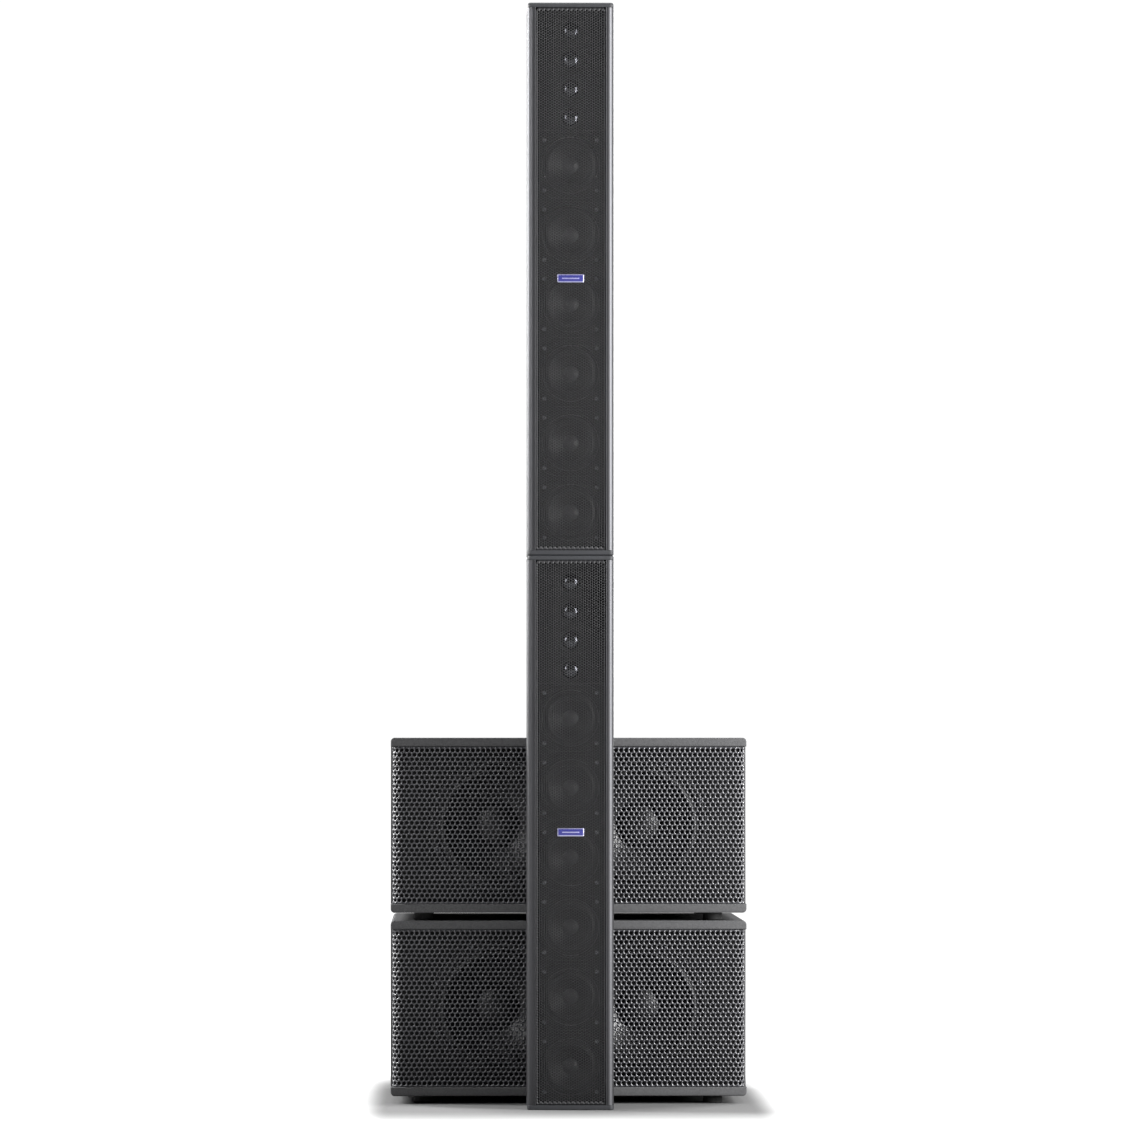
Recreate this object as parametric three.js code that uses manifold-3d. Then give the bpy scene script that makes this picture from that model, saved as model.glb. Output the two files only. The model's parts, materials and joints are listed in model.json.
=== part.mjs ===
// Column PA system: two column loudspeakers, one standing on the other, in front of two stacked
// subwoofers. Each column holds four high-frequency horns and six 4-inch woofers, each subwoofer
// two 8-inch woofers.
// Units are millimetres. X runs to the right, Y from the front to the back, Z up from the floor.
// The origin is on the floor, in the middle of the system's width and depth.

import * as THREE from 'three';
import { mergeVertices } from 'three/addons/utils/BufferGeometryUtils.js';
import Module from 'manifold-3d';

// ---------------------------------------------------------------- driving dimensions

const SLIT = 0.3;            // gap left between pieces that touch
const OVERSHOOT = 1;         // how far a cutter runs past the face that it opens
const WELD = 1e-3;           // corners closer than this are one corner
const SYSTEM_DEPTH = 650;    // front of the columns to the rear of the subwoofers' heatsinks

const COLUMN = {
  width: 130, height: 835, depth: 160,
  wall: 3, frontCorner: 5, backCorner: 8,
  railWidth: 12, railDepth: 14,          // the two solid rails beside the grille
  cap: 7, capEdge: 2,                    // end plates and their rounded edges
};

const COLUMN_GRILLE = { sheet: 1.2, recess: 1.5, lip: 8 };
const COLUMN_BAFFLE = { board: 8, front: COLUMN.railDepth + SLIT };

const HORN = {               // the high-frequency row at the top of each column
  count: 4, fromTop: 41, pitch: 44,
  width: 53, recess: 5,      // moulded trough that the throats open into
  throatWidth: 26, throatHeight: 34, motorRadius: 19, motorLength: 26,
};

const SMALL_WOOFER = {       // 4-inch
  count: 6, fromTop: 245.5, pitch: 105,
  flange: 48, flangeStep: 3, bore: 42.5,
  basket: 44, basketLength: 16, magnet: 36, magnetStart: 36, depth: 58, hollow: 32,
  cone: 41.5, sides: 12,
};

const SUB = {
  width: 545, height: 268, depth: 460, setback: 170,
  wall: 13.5, corner: 6,
  baffleSetback: 30, baffle: 15,
  rebateWidth: 10, rebateDepth: 6.5,     // step in the baffle's ends for the grille's returns
};

const SUB_GRILLE = { sheet: 1.5, recess: 2, corner: 14 };

const BIG_WOOFER = {         // 8-inch
  spacing: 218, flange: 103.5, flangeStep: 5, hole: 96, basket: 95.5, bore: 93.2,
  magnet: 64, magnetStart: 70, depth: 100, cone: 92, sides: 16,
};

const PORT = { radius: 32, spacing: 400, sides: 12 };
const FOOT = { radius: 15.5, height: 12, spacingX: 444, fromFront: 40, fromBack: 40, sides: 12 };

const COLUMN_AMP = {
  width: 110, height: 195, plate: 3, bottom: 575,
  chassisMargin: 9, chassisDepth: 45, knobFromTop: 24,
};

const SUB_AMP = {
  width: 270, height: 210, plate: 4,
  chassisMargin: 12, chassisDepth: 70,
  finCount: 10, finWidth: 3, finPitch: 12.5, finHeight: 160, finStart: -126,
  knob: { x: 40, z: 72 },    // from the panel's middle
  rocker: { x: 104, z: -66 },
};

const KNOB = { radius: 9, length: 12, shaft: 3, shaftLength: 7, pointer: 2.2, sides: 14 };
const ROCKER = { width: 14, halfHeight: 9.5, body: 4, lift: 3.4, dip: 2.2, tilt: 6, clearance: 1.2, sunk: 1 };

const HANDLE = {             // moulded pocket with a grip bar across its upper part
  flangeLength: 170, flangeHeight: 100, flange: 2,
  length: 150, height: 80, depth: 40, wall: 2.5,
  gripHeight: 21.5, gripDepth: 15, gripInset: 1, rise: 25,
};

const LINK = {               // steel plate and two pull pins that hold the columns together
  width: 60, height: 110, plate: 4, pinFromSeam: 35,
  pin: 4, hole: 4.4, pinReach: 20, knob: 10, knobLength: 8, sides: 12,
};

const TIE = { width: 80, plate: 3, tongue: 170, leg: 150 };

const COLUMN_FRONT = -SYSTEM_DEPTH / 2;
const LINK_SEAM = COLUMN.height + SLIT / 2;
const SUB_PITCH = SUB.height + FOOT.height;
const SUB_REAR = SUB.setback + SUB.depth;
const FIN_DEPTH = SYSTEM_DEPTH - SUB_REAR - SLIT - SUB_AMP.plate;

// ---------------------------------------------------------------- materials

function finish(color, roughness, metalness) {
  return new THREE.MeshStandardMaterial({ color, roughness, metalness });
}

const FINISH = {
  extrusion: () => finish(0x2b2c2e, 0.42, 0.7),
  endPlate: () => finish(0x1f2022, 0.5, 0.4),
  grille: () => finish(0x141416, 0.45, 0.6),
  moulding: () => finish(0x0f0f10, 0.6, 0),
  cone: () => finish(0x18181a, 0.4, 0),
  basket: () => finish(0x3a3b3e, 0.5, 0.6),
  cabinet: () => finish(0x1a1a1c, 0.7, 0),
  panel: () => finish(0x161719, 0.5, 0.4),
  knob: () => finish(0x0c0c0d, 0.45, 0),
  rocker: () => finish(0x101011, 0.3, 0),
  rubber: () => finish(0x0b0b0b, 0.9, 0),
  steel: () => finish(0x232426, 0.5, 0.8),
  pin: () => finish(0xb9bbbe, 0.3, 1),
};

// ---------------------------------------------------------------- solids

const wasm = await Module();
wasm.setup();

/** Six times the volume that the triangles enclose; negative when they face inwards. */
function signedVolume(points, corners) {
  let sum = 0;
  const [a, b, c] = [new THREE.Vector3(), new THREE.Vector3(), new THREE.Vector3()];
  for (let i = 0; i < corners.length; i += 3) {
    a.fromArray(points, 3 * corners[i]);
    b.fromArray(points, 3 * corners[i + 1]);
    c.fromArray(points, 3 * corners[i + 2]);
    sum += a.dot(b.cross(c));
  }
  return sum;
}

/** The solid inside a closed geometry, with its corners welded and its faces turned outwards. */
function toSolid(geometry) {
  const bare = geometry.clone();
  bare.deleteAttribute('normal');
  bare.deleteAttribute('uv');
  const welded = mergeVertices(bare, WELD);
  const points = welded.getAttribute('position').array;
  const corners = [];
  for (let i = 0; i < welded.index.count; i += 3) {
    const [a, b, c] = [0, 1, 2].map((step) => welded.index.getX(i + step));
    if (a !== b && b !== c && c !== a) corners.push(a, b, c);
  }
  if (signedVolume(points, corners) < 0) corners.reverse();
  const triVerts = Uint32Array.from(corners);
  const mesh = new wasm.Mesh({ numProp: 3, vertProperties: Float32Array.from(points), triVerts });
  return new wasm.Manifold(mesh);
}

/** One solid made of several that overlap. */
function join(...solids) {
  return solids.reduce((sum, solid) => sum.add(solid));
}

/** A solid with others cut out of it. */
function cut(body, ...cutters) {
  return cutters.reduce((rest, cutter) => rest.subtract(cutter), body);
}

function toGeometry(solid) {
  const mesh = solid.getMesh();
  const geometry = new THREE.BufferGeometry();
  geometry.setAttribute('position', new THREE.BufferAttribute(Float32Array.from(mesh.vertProperties), 3));
  geometry.setIndex(new THREE.BufferAttribute(Uint32Array.from(mesh.triVerts), 1));
  geometry.computeVertexNormals();
  return geometry;
}

/** A named piece of the system. */
function piece(name, solid, material) {
  const mesh = new THREE.Mesh(toGeometry(solid), material);
  mesh.name = name;
  return mesh;
}

/** A box between two corners. */
function block([x0, y0, z0], [x1, y1, z1]) {
  const geometry = new THREE.BoxGeometry(x1 - x0, y1 - y0, z1 - z0);
  return toSolid(geometry.translate((x0 + x1) / 2, (y0 + y1) / 2, (z0 + z1) / 2));
}

/** A profile of [radius, depth] points turned about a line along Y through x, z. */
function turned(profile, sides, x = 0, z = 0) {
  const points = profile.map(([radius, depth]) => new THREE.Vector2(radius, depth));
  const geometry = new THREE.LatheGeometry(points, sides);
  return toSolid(geometry.translate(x, 0, z));
}

/** A round rod along Y. */
function rod(radius, y0, y1, sides, x = 0, z = 0) {
  return turned([[0, y0], [radius, y0], [radius, y1], [0, y1]], sides, x, z);
}

/** A rectangle with round corners: lower corners of one radius, upper corners of another. */
function roundedOutline(width, height, lower, upper) {
  const half = width / 2;
  const shape = new THREE.Shape();
  shape.moveTo(-half + lower, 0);
  shape.lineTo(half - lower, 0);
  shape.absarc(half - lower, lower, lower, -Math.PI / 2, 0);
  shape.lineTo(half, height - upper);
  shape.absarc(half - upper, height - upper, upper, 0, Math.PI / 2);
  shape.lineTo(-half + upper, height);
  shape.absarc(-half + upper, height - upper, upper, Math.PI / 2, Math.PI);
  shape.lineTo(-half, lower);
  shape.absarc(-half + lower, lower, lower, Math.PI, Math.PI * 1.5);
  return shape;
}

/** A plan outline raised from z0 to z1, with its end edges rounded by edge. */
function upright(shape, z0, z1, edge = 0) {
  const geometry = new THREE.ExtrudeGeometry(shape, {
    depth: z1 - z0 - 2 * edge,
    curveSegments: 3,
    bevelEnabled: edge > 0,
    bevelThickness: edge,
    bevelSize: edge,
    bevelOffset: -edge,
    bevelSegments: 1,
  });
  return toSolid(geometry.translate(0, 0, z0 + edge));
}

/** A front outline carried back from y0 to y1. */
function lengthways(shape, y0, y1) {
  const geometry = new THREE.ExtrudeGeometry(shape, { depth: y1 - y0, curveSegments: 3, bevelEnabled: false });
  return toSolid(geometry.rotateX(Math.PI / 2).translate(0, y1, 0));
}

// ---------------------------------------------------------------- column pieces
// Column pieces are measured from the column's front face and from its underside.

const COLUMN_LOW = COLUMN.cap + SLIT;
const COLUMN_HIGH = COLUMN.height - COLUMN.cap - SLIT;
const COLUMN_OUTLINE = [COLUMN.width, COLUMN.depth, COLUMN.frontCorner, COLUMN.backCorner];

/** Heights of a row's members, from the highest down. */
function rowHeights({ count, fromTop, pitch }) {
  return Array.from({ length: count }, (_, i) => COLUMN.height - fromTop - i * pitch);
}

/** Aluminium profile: three thin walls and two solid front rails, open between the rails. */
function columnCabinet() {
  const half = COLUMN.width / 2;
  const inner = half - COLUMN.wall;
  const mouth = half - COLUMN.railWidth;
  const back = COLUMN.depth - COLUMN.wall;
  const tube = upright(roundedOutline(...COLUMN_OUTLINE), COLUMN_LOW, COLUMN_HIGH);
  const hollow = block([-inner, COLUMN.railDepth, 0], [inner, back, COLUMN.height]);
  const front = block([-mouth, -OVERSHOOT, 0], [mouth, COLUMN.railDepth + OVERSHOOT, COLUMN.height]);
  const pinHoles = [LINK.pinFromSeam, COLUMN.height - LINK.pinFromSeam].map((z) => (
    rod(LINK.hole, back - OVERSHOOT, COLUMN.depth + OVERSHOOT, LINK.sides, 0, z)
  ));
  return cut(tube, hollow, front, ampOpening(back), ...pinHoles);
}

/** The window in the rear wall that the amplifier's chassis passes through. */
function ampOpening(back) {
  const { width, height, bottom, chassisMargin } = COLUMN_AMP;
  const half = width / 2 - chassisMargin + SLIT;
  return block(
    [-half, back - OVERSHOOT, bottom + chassisMargin - SLIT],
    [half, COLUMN.depth + OVERSHOOT, bottom + height - chassisMargin + SLIT],
  );
}

function endPlate(z0) {
  return upright(roundedOutline(...COLUMN_OUTLINE), z0, z0 + COLUMN.cap, COLUMN.capEdge);
}

/** Sheet bent to a shallow channel that fits between the rails. */
function columnGrille() {
  const { sheet, recess, lip } = COLUMN_GRILLE;
  const half = COLUMN.width / 2 - COLUMN.railWidth - SLIT;
  const channel = block([-half, recess, COLUMN_LOW], [half, recess + lip, COLUMN_HIGH]);
  const hollow = block(
    [-half + sheet, recess + sheet, 0],
    [half - sheet, recess + lip + OVERSHOOT, COLUMN.height],
  );
  return cut(channel, hollow);
}

/** One horn's motor behind the board, and the opening that leads to it. */
function hornMotor(z) {
  const back = COLUMN_BAFFLE.front + COLUMN_BAFFLE.board;
  return rod(HORN.motorRadius, back - OVERSHOOT, back + HORN.motorLength, SMALL_WOOFER.sides, 0, z);
}

function hornThroat(z) {
  const front = COLUMN_BAFFLE.front;
  const halfWidth = HORN.throatWidth / 2;
  const halfHeight = HORN.throatHeight / 2;
  return block(
    [-halfWidth, front, z - halfHeight],
    [halfWidth, front + COLUMN_BAFFLE.board, z + halfHeight],
  );
}

/** The trough that the throats open into, sunk into the board's face. */
function hornTrough() {
  const heights = rowHeights(HORN);
  const reach = HORN.pitch / 2;
  const half = HORN.width / 2;
  return block(
    [-half, COLUMN_BAFFLE.front - OVERSHOOT, heights[HORN.count - 1] - reach],
    [half, COLUMN_BAFFLE.front + HORN.recess, heights[0] + reach],
  );
}

/** Flange, basket and magnet of a 4-inch woofer, outside and inside. */
function smallBasket(z) {
  const { flange, flangeStep, basket, basketLength, magnet, magnetStart, depth, sides } = SMALL_WOOFER;
  const front = COLUMN_BAFFLE.front;
  return turned([
    [0, front - flangeStep], [flange, front - flangeStep], [flange, front + OVERSHOOT],
    [basket, front + OVERSHOOT], [basket, front + basketLength],
    [magnet, front + magnetStart], [magnet, front + depth], [0, front + depth],
  ], sides, 0, z);
}

function smallBasketHollow(z) {
  const { flangeStep, bore, basketLength, magnet, hollow, sides } = SMALL_WOOFER;
  const front = COLUMN_BAFFLE.front;
  return turned([
    [0, front - flangeStep - OVERSHOOT], [bore, front - flangeStep - OVERSHOOT],
    [bore, front + basketLength - 2], [magnet - 4, front + hollow], [0, front + hollow],
  ], sides, 0, z);
}

/** Board that carries the horns and the 4-inch baskets. */
function columnBaffle() {
  const half = COLUMN.width / 2 - COLUMN.wall - SLIT;
  const { front, board } = COLUMN_BAFFLE;
  const plate = block([-half, front, COLUMN_LOW], [half, front + board, COLUMN_HIGH]);
  const woofers = rowHeights(SMALL_WOOFER);
  const horns = rowHeights(HORN);
  const full = join(plate, ...woofers.map(smallBasket), ...horns.map(hornMotor));
  return cut(full, ...woofers.map(smallBasketHollow), hornTrough(), ...horns.map(hornThroat));
}

/** 4-inch cone with its roll surround, dust cap and voice coil, about the baffle's front face. */
function smallCone() {
  const { cone, sides } = SMALL_WOOFER;
  return turned([
    [0, 6], [11, 9], [27, -1], [34, -5], [cone, -1.5],
    [cone, 0], [27, 0.8], [12.5, 11], [12.5, 24], [0, 24],
  ], sides);
}

/** Rear plate with the amplifier's chassis behind it and a hole for the knob's shaft. */
function columnAmpPanel() {
  const { width, height, plate, bottom, chassisMargin, chassisDepth, knobFromTop } = COLUMN_AMP;
  const face = COLUMN.depth + SLIT;
  const half = width / 2;
  const cover = block([-half, face, bottom], [half, face + plate, bottom + height]);
  const chassis = block(
    [-half + chassisMargin, face - chassisDepth, bottom + chassisMargin],
    [half - chassisMargin, face + SLIT, bottom + height - chassisMargin],
  );
  return cut(join(cover, chassis), knobHole(face + plate, 0, bottom + height - knobFromTop));
}

// ---------------------------------------------------------------- controls

/** The hole in a panel for a knob's shaft, open at the panel's outer face. */
function knobHole(face, x, z) {
  const depth = KNOB.shaftLength + SLIT;
  return rod(KNOB.shaft + SLIT, face - depth, face + OVERSHOOT, KNOB.sides, x, z);
}

/** Knob with a pointer rib, its skirt at y = 0 and its shaft in front of that. */
function knob() {
  const { radius, length, shaft, shaftLength, pointer, sides } = KNOB;
  const body = turned([
    [0, -shaftLength], [shaft, -shaftLength], [shaft, 0], [radius, 0],
    [radius * 0.86, length], [0, length],
  ], sides);
  const rib = block([-pointer / 2, length - OVERSHOOT, 0], [pointer / 2, length + 1.2, radius * 0.8]);
  return join(body, rib);
}

function placedKnob(name, face, x, z) {
  const mesh = piece(name, knob(), FINISH.knob());
  mesh.position.set(x, face + SLIT, z);
  return mesh;
}

/** Rocker of a mains switch, about its pivot, tipped so that its upper half stands proud. */
function rocker() {
  const { width, halfHeight, body, lift, dip, tilt } = ROCKER;
  const outline = new THREE.Shape([
    [-body, -halfHeight], [lift, -halfHeight], [dip, 0], [lift, halfHeight], [-body, halfHeight],
  ].map(([y, z]) => new THREE.Vector2(y, z)));
  const geometry = new THREE.ExtrudeGeometry(outline, { depth: width, bevelEnabled: false });
  geometry.rotateX(Math.PI / 2).rotateZ(Math.PI / 2).translate(-width / 2, 0, 0);
  geometry.rotateX(-THREE.MathUtils.degToRad(tilt));
  return toSolid(geometry);
}

/** The pocket in the panel that the rocker tips in. */
function rockerWell(face, x, z) {
  const { width, halfHeight, body, clearance, sunk } = ROCKER;
  const halfWidth = width / 2 + SLIT;
  const reach = halfHeight + clearance;
  return block(
    [x - halfWidth, face - sunk - body - clearance, z - reach],
    [x + halfWidth, face + OVERSHOOT, z + reach],
  );
}

// ---------------------------------------------------------------- subwoofer pieces
// Subwoofer pieces are measured from the columns' front face and from the cabinet's underside.

const SUB_MIDDLE = SUB.height / 2;
const SUB_BAFFLE = SUB.setback + SUB.baffleSetback;
const HANDLE_MIDDLE = { y: SUB.setback + SUB.depth / 2, z: SUB_MIDDLE + HANDLE.rise };
const SIDES = [{ side: 'left', sign: -1 }, { side: 'right', sign: 1 }];

/** Box of boards with a set-back baffle; its top and bottom boards reach forward to the front. */
function subCabinet() {
  const half = SUB.width / 2;
  const { wall, height, setback } = SUB;
  const inner = half - wall;
  const outline = roundedOutline(SUB.width, height, SUB.corner, SUB.corner);
  const shell = lengthways(outline, setback, SUB_REAR);
  const inside = block([-inner, SUB_BAFFLE + SUB.baffle, wall], [inner, SUB_REAR - wall, height - wall]);
  const front = block([-half - OVERSHOOT, setback - OVERSHOOT, wall], [half + OVERSHOOT, SUB_BAFFLE, height - wall]);
  return cut(shell, inside, front, ...baffleCuts(), ...rearCuts(), ...SIDES.flatMap(handleCuts));
}

/** Woofer holes, and the steps at the baffle's ends that the grille's returns sit in. */
function baffleCuts() {
  const back = SUB_BAFFLE + SUB.baffle + OVERSHOOT;
  const half = SUB.width / 2;
  const rebates = SIDES.map(({ sign }) => {
    const ends = [sign * (half - SUB.rebateWidth), sign * (half + OVERSHOOT)].sort((a, b) => a - b);
    return block(
      [ends[0], SUB_BAFFLE - OVERSHOOT, SUB.wall],
      [ends[1], SUB_BAFFLE + SUB.rebateDepth, SUB.height - SUB.wall],
    );
  });
  const holes = SIDES.map(({ sign }) => (
    rod(BIG_WOOFER.hole, SUB_BAFFLE - OVERSHOOT, back, BIG_WOOFER.sides, sign * BIG_WOOFER.spacing / 2, SUB_MIDDLE)
  ));
  return [...rebates, ...holes];
}

/** Window for the amplifier's chassis and the two round port openings. */
function rearCuts() {
  const near = SUB_REAR - SUB.wall - OVERSHOOT;
  const far = SUB_REAR + OVERSHOOT;
  const halfWidth = SUB_AMP.width / 2 - SUB_AMP.chassisMargin + SLIT;
  const halfHeight = SUB_AMP.height / 2 - SUB_AMP.chassisMargin + SLIT;
  const window = block([-halfWidth, near, SUB_MIDDLE - halfHeight], [halfWidth, far, SUB_MIDDLE + halfHeight]);
  const ports = SIDES.map(({ sign }) => (
    rod(PORT.radius, near, far, PORT.sides, sign * PORT.spacing / 2, SUB_MIDDLE)
  ));
  return [window, ...ports];
}

/** Hole through a side board for the handle's pocket, with a step round it for the flange. */
function handleCuts({ sign }) {
  const half = SUB.width / 2;
  const board = (depth, length, height) => {
    const ends = [sign * (half - depth), sign * (half + OVERSHOOT)].sort((a, b) => a - b);
    return block(
      [ends[0], HANDLE_MIDDLE.y - length / 2 - SLIT, HANDLE_MIDDLE.z - height / 2 - SLIT],
      [ends[1], HANDLE_MIDDLE.y + length / 2 + SLIT, HANDLE_MIDDLE.z + height / 2 + SLIT],
    );
  };
  return [
    board(SUB.wall + OVERSHOOT, HANDLE.length, HANDLE.height),
    board(HANDLE.flange + SLIT, HANDLE.flangeLength, HANDLE.flangeHeight),
  ];
}

/** Perforated sheet that wraps from the front round both upright edges. */
function subGrille() {
  const { sheet, recess, corner } = SUB_GRILLE;
  const front = SUB.setback + recess;
  const back = SUB_BAFFLE + SUB.rebateDepth - SLIT;
  const low = SUB.wall + SLIT;
  const high = SUB.height - SUB.wall - SLIT;
  const depth = back - front;
  const outer = upright(roundedOutline(SUB.width, depth + corner, corner, 0.5), low, high);
  const inner = upright(
    roundedOutline(SUB.width - 2 * sheet, depth + corner, corner - sheet, 0.5),
    0,
    SUB.height,
  ).translate([0, sheet, 0]);
  const rear = block([-SUB.width, depth, 0], [SUB.width, depth + 2 * corner, SUB.height]);
  return cut(outer, inner, rear).translate([0, front, 0]);
}

/** Cast frame of an 8-inch woofer with its magnet, about the baffle's front face. */
function bigFrame() {
  const { flange, flangeStep, basket, bore, magnet, magnetStart, depth, sides } = BIG_WOOFER;
  return turned([
    [0, 72], [50, 72], [bore - 4, 22], [bore, 12], [bore, -flangeStep - SLIT],
    [flange, -flangeStep - SLIT], [flange, -SLIT], [basket, -SLIT], [basket, 18],
    [magnet, magnetStart], [magnet, depth], [0, depth],
  ], sides);
}

/** 8-inch cone with its roll surround, dust cap and voice coil, about the baffle's front face. */
function bigCone() {
  const { cone, sides } = BIG_WOOFER;
  return turned([
    [0, 30], [27, 38], [77, 2], [84.5, -6], [cone, -1],
    [cone, 1], [77, 4.5], [29, 40.5], [29, 60], [0, 60],
  ], sides);
}

/** Rear plate with heatsink fins outside and the chassis inside. */
function subAmpPanel() {
  const { width, height, plate, chassisMargin, chassisDepth } = SUB_AMP;
  const face = SUB_REAR + SLIT;
  const [halfWidth, halfHeight] = [width / 2, height / 2];
  const cover = block(
    [-halfWidth, face, SUB_MIDDLE - halfHeight],
    [halfWidth, face + plate, SUB_MIDDLE + halfHeight],
  );
  const chassis = block(
    [-halfWidth + chassisMargin, face - chassisDepth, SUB_MIDDLE - halfHeight + chassisMargin],
    [halfWidth - chassisMargin, face + SLIT, SUB_MIDDLE + halfHeight - chassisMargin],
  );
  const outer = face + plate;
  return cut(
    join(cover, chassis, ...fins(outer)),
    knobHole(outer, SUB_AMP.knob.x, SUB_MIDDLE + SUB_AMP.knob.z),
    rockerWell(outer, SUB_AMP.rocker.x, SUB_MIDDLE + SUB_AMP.rocker.z),
  );
}

/** A row of upright heatsink fins. */
function fins(face) {
  const { finCount, finWidth, finPitch, finHeight, finStart } = SUB_AMP;
  return Array.from({ length: finCount }, (_, i) => {
    const x = finStart + i * finPitch;
    return block(
      [x, face - OVERSHOOT, SUB_MIDDLE - finHeight / 2],
      [x + finWidth, face + FIN_DEPTH, SUB_MIDDLE + finHeight / 2],
    );
  });
}

function foot(height) {
  const { radius, sides } = FOOT;
  const lathe = new THREE.LatheGeometry([
    new THREE.Vector2(0, 0), new THREE.Vector2(radius - 1, 0), new THREE.Vector2(radius, 1.2),
    new THREE.Vector2(radius - 1.5, height), new THREE.Vector2(0, height),
  ], sides);
  return toSolid(lathe.rotateX(Math.PI / 2));
}

/** Pocket handle for a side board; x = 0 is the board's outer face and the pocket lies at minus x. */
function handle() {
  const { flangeLength, flangeHeight, flange, length, height, depth, wall } = HANDLE;
  const plate = block([-flange, -flangeLength / 2, -flangeHeight / 2], [0, flangeLength / 2, flangeHeight / 2]);
  const cup = block([-depth, -length / 2, -height / 2], [-flange / 2, length / 2, height / 2]);
  const hollow = block(
    [-depth + wall, -length / 2 + wall, -height / 2 + wall],
    [OVERSHOOT, length / 2 - wall, height / 2 - wall],
  );
  const { gripHeight, gripDepth, gripInset } = HANDLE;
  const top = height / 2 - wall / 2;
  const grip = block(
    [-gripInset - gripDepth, -length / 2 + wall / 2, top - wall / 2 - gripHeight],
    [-gripInset, length / 2 - wall / 2, top],
  );
  return join(cut(join(plate, cup), hollow), grip);
}

// ---------------------------------------------------------------- rigging

/** Plate over the seam of the two columns, with a hole for each pin. */
function linkPlate() {
  const { width, height, plate, pinFromSeam, hole, sides } = LINK;
  const face = COLUMN.depth + SLIT;
  const sheet = block([-width / 2, face, -height / 2], [width / 2, face + plate, height / 2]);
  const holes = [-pinFromSeam, pinFromSeam].map((z) => (
    rod(hole, face - OVERSHOOT, face + plate + OVERSHOOT, sides, 0, z)
  ));
  return cut(sheet, ...holes);
}

/** Pull pin, its knob's inner face at y = 0. */
function linkPin() {
  const { pin, plate, pinReach, knob: knobRadius, knobLength, sides } = LINK;
  const reach = pinReach + plate + SLIT;
  return turned([
    [0, -reach], [pin - 1, -reach], [pin, -reach + 1.5], [pin, 0],
    [knobRadius, 0], [knobRadius - 1, knobLength], [0, knobLength],
  ], sides);
}

/** Bent plate: a tongue clamped between the subwoofers and a leg up the columns' back. */
function tieBracket() {
  const { width, plate, tongue, leg } = TIE;
  const face = COLUMN.depth + SLIT;
  const half = width / 2;
  const floor = block([-half, face, 0], [half, face + tongue, plate]);
  const back = block([-half, face, 0], [half, face + plate, leg]);
  return join(floor, back);
}

// ---------------------------------------------------------------- assembly

/** One column at a height above the floor. */
function buildColumn(level, baseHeight) {
  const group = new THREE.Group();
  group.position.set(0, COLUMN_FRONT, baseHeight);
  const name = (part) => `${level}_column_${part}`;
  group.add(piece(name('cabinet'), columnCabinet(), FINISH.extrusion()));
  group.add(piece(name('top_cap'), endPlate(COLUMN.height - COLUMN.cap), FINISH.endPlate()));
  group.add(piece(name('bottom_cap'), endPlate(0), FINISH.endPlate()));
  group.add(piece(name('grille'), columnGrille(), FINISH.grille()));
  group.add(piece(name('baffle'), columnBaffle(), FINISH.moulding()));
  rowHeights(SMALL_WOOFER).forEach((z, i) => {
    const cone = piece(name(`cone_${i + 1}`), smallCone(), FINISH.cone());
    cone.position.set(0, COLUMN_BAFFLE.front, z);
    group.add(cone);
  });
  group.add(piece(name('amp_panel'), columnAmpPanel(), FINISH.panel()));
  const { height, plate, bottom, knobFromTop } = COLUMN_AMP;
  group.add(placedKnob(name('level_knob'), COLUMN.depth + SLIT + plate, 0, bottom + height - knobFromTop));
  return group;
}

/** The two 8-inch woofers of a subwoofer. */
function addBigWoofers(group, name) {
  SIDES.forEach(({ side, sign }) => {
    const frame = piece(name(`woofer_frame_${side}`), bigFrame(), FINISH.basket());
    const cone = piece(name(`cone_${side}`), bigCone(), FINISH.cone());
    [frame, cone].forEach((mesh) => {
      mesh.position.set(sign * BIG_WOOFER.spacing / 2, SUB_BAFFLE, SUB_MIDDLE);
      group.add(mesh);
    });
  });
}

/** Amplifier panel with its level knob and mains rocker. */
function addSubAmplifier(group, name) {
  const face = SUB_REAR + SLIT + SUB_AMP.plate;
  group.add(piece(name('amp_panel'), subAmpPanel(), FINISH.panel()));
  group.add(placedKnob(name('level_knob'), face, SUB_AMP.knob.x, SUB_MIDDLE + SUB_AMP.knob.z));
  const mains = piece(name('power_switch'), rocker(), FINISH.rocker());
  mains.position.set(SUB_AMP.rocker.x, face - ROCKER.sunk, SUB_MIDDLE + SUB_AMP.rocker.z);
  group.add(mains);
}

function addHandles(group, name) {
  SIDES.forEach(({ side, sign }) => {
    const mesh = piece(name(`handle_${side}`), handle(), FINISH.moulding());
    mesh.position.set(sign * SUB.width / 2, HANDLE_MIDDLE.y, HANDLE_MIDDLE.z);
    mesh.rotation.z = sign > 0 ? 0 : Math.PI;
    group.add(mesh);
  });
}

/** Four feet under a cabinet; gapBelow keeps them off whatever they stand on. */
function addFeet(group, name, gapBelow) {
  const depths = [SUB.setback + FOOT.fromFront, SUB_REAR - FOOT.fromBack];
  let number = 1;
  depths.forEach((y) => {
    SIDES.forEach(({ sign }) => {
      const mesh = piece(name(`foot_${number}`), foot(FOOT.height - SLIT - gapBelow), FINISH.rubber());
      mesh.position.set(sign * FOOT.spacingX / 2, y, -FOOT.height + gapBelow);
      group.add(mesh);
      number += 1;
    });
  });
}

/** One subwoofer with its underside at a height above the floor. */
function buildSub(level, baseHeight, gapBelow) {
  const group = new THREE.Group();
  group.position.set(0, COLUMN_FRONT, baseHeight);
  const name = (part) => `${level}_sub_${part}`;
  group.add(piece(name('cabinet'), subCabinet(), FINISH.cabinet()));
  group.add(piece(name('grille'), subGrille(), FINISH.grille()));
  addBigWoofers(group, name);
  addSubAmplifier(group, name);
  addFeet(group, name, gapBelow);
  addHandles(group, name);
  return group;
}

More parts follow.
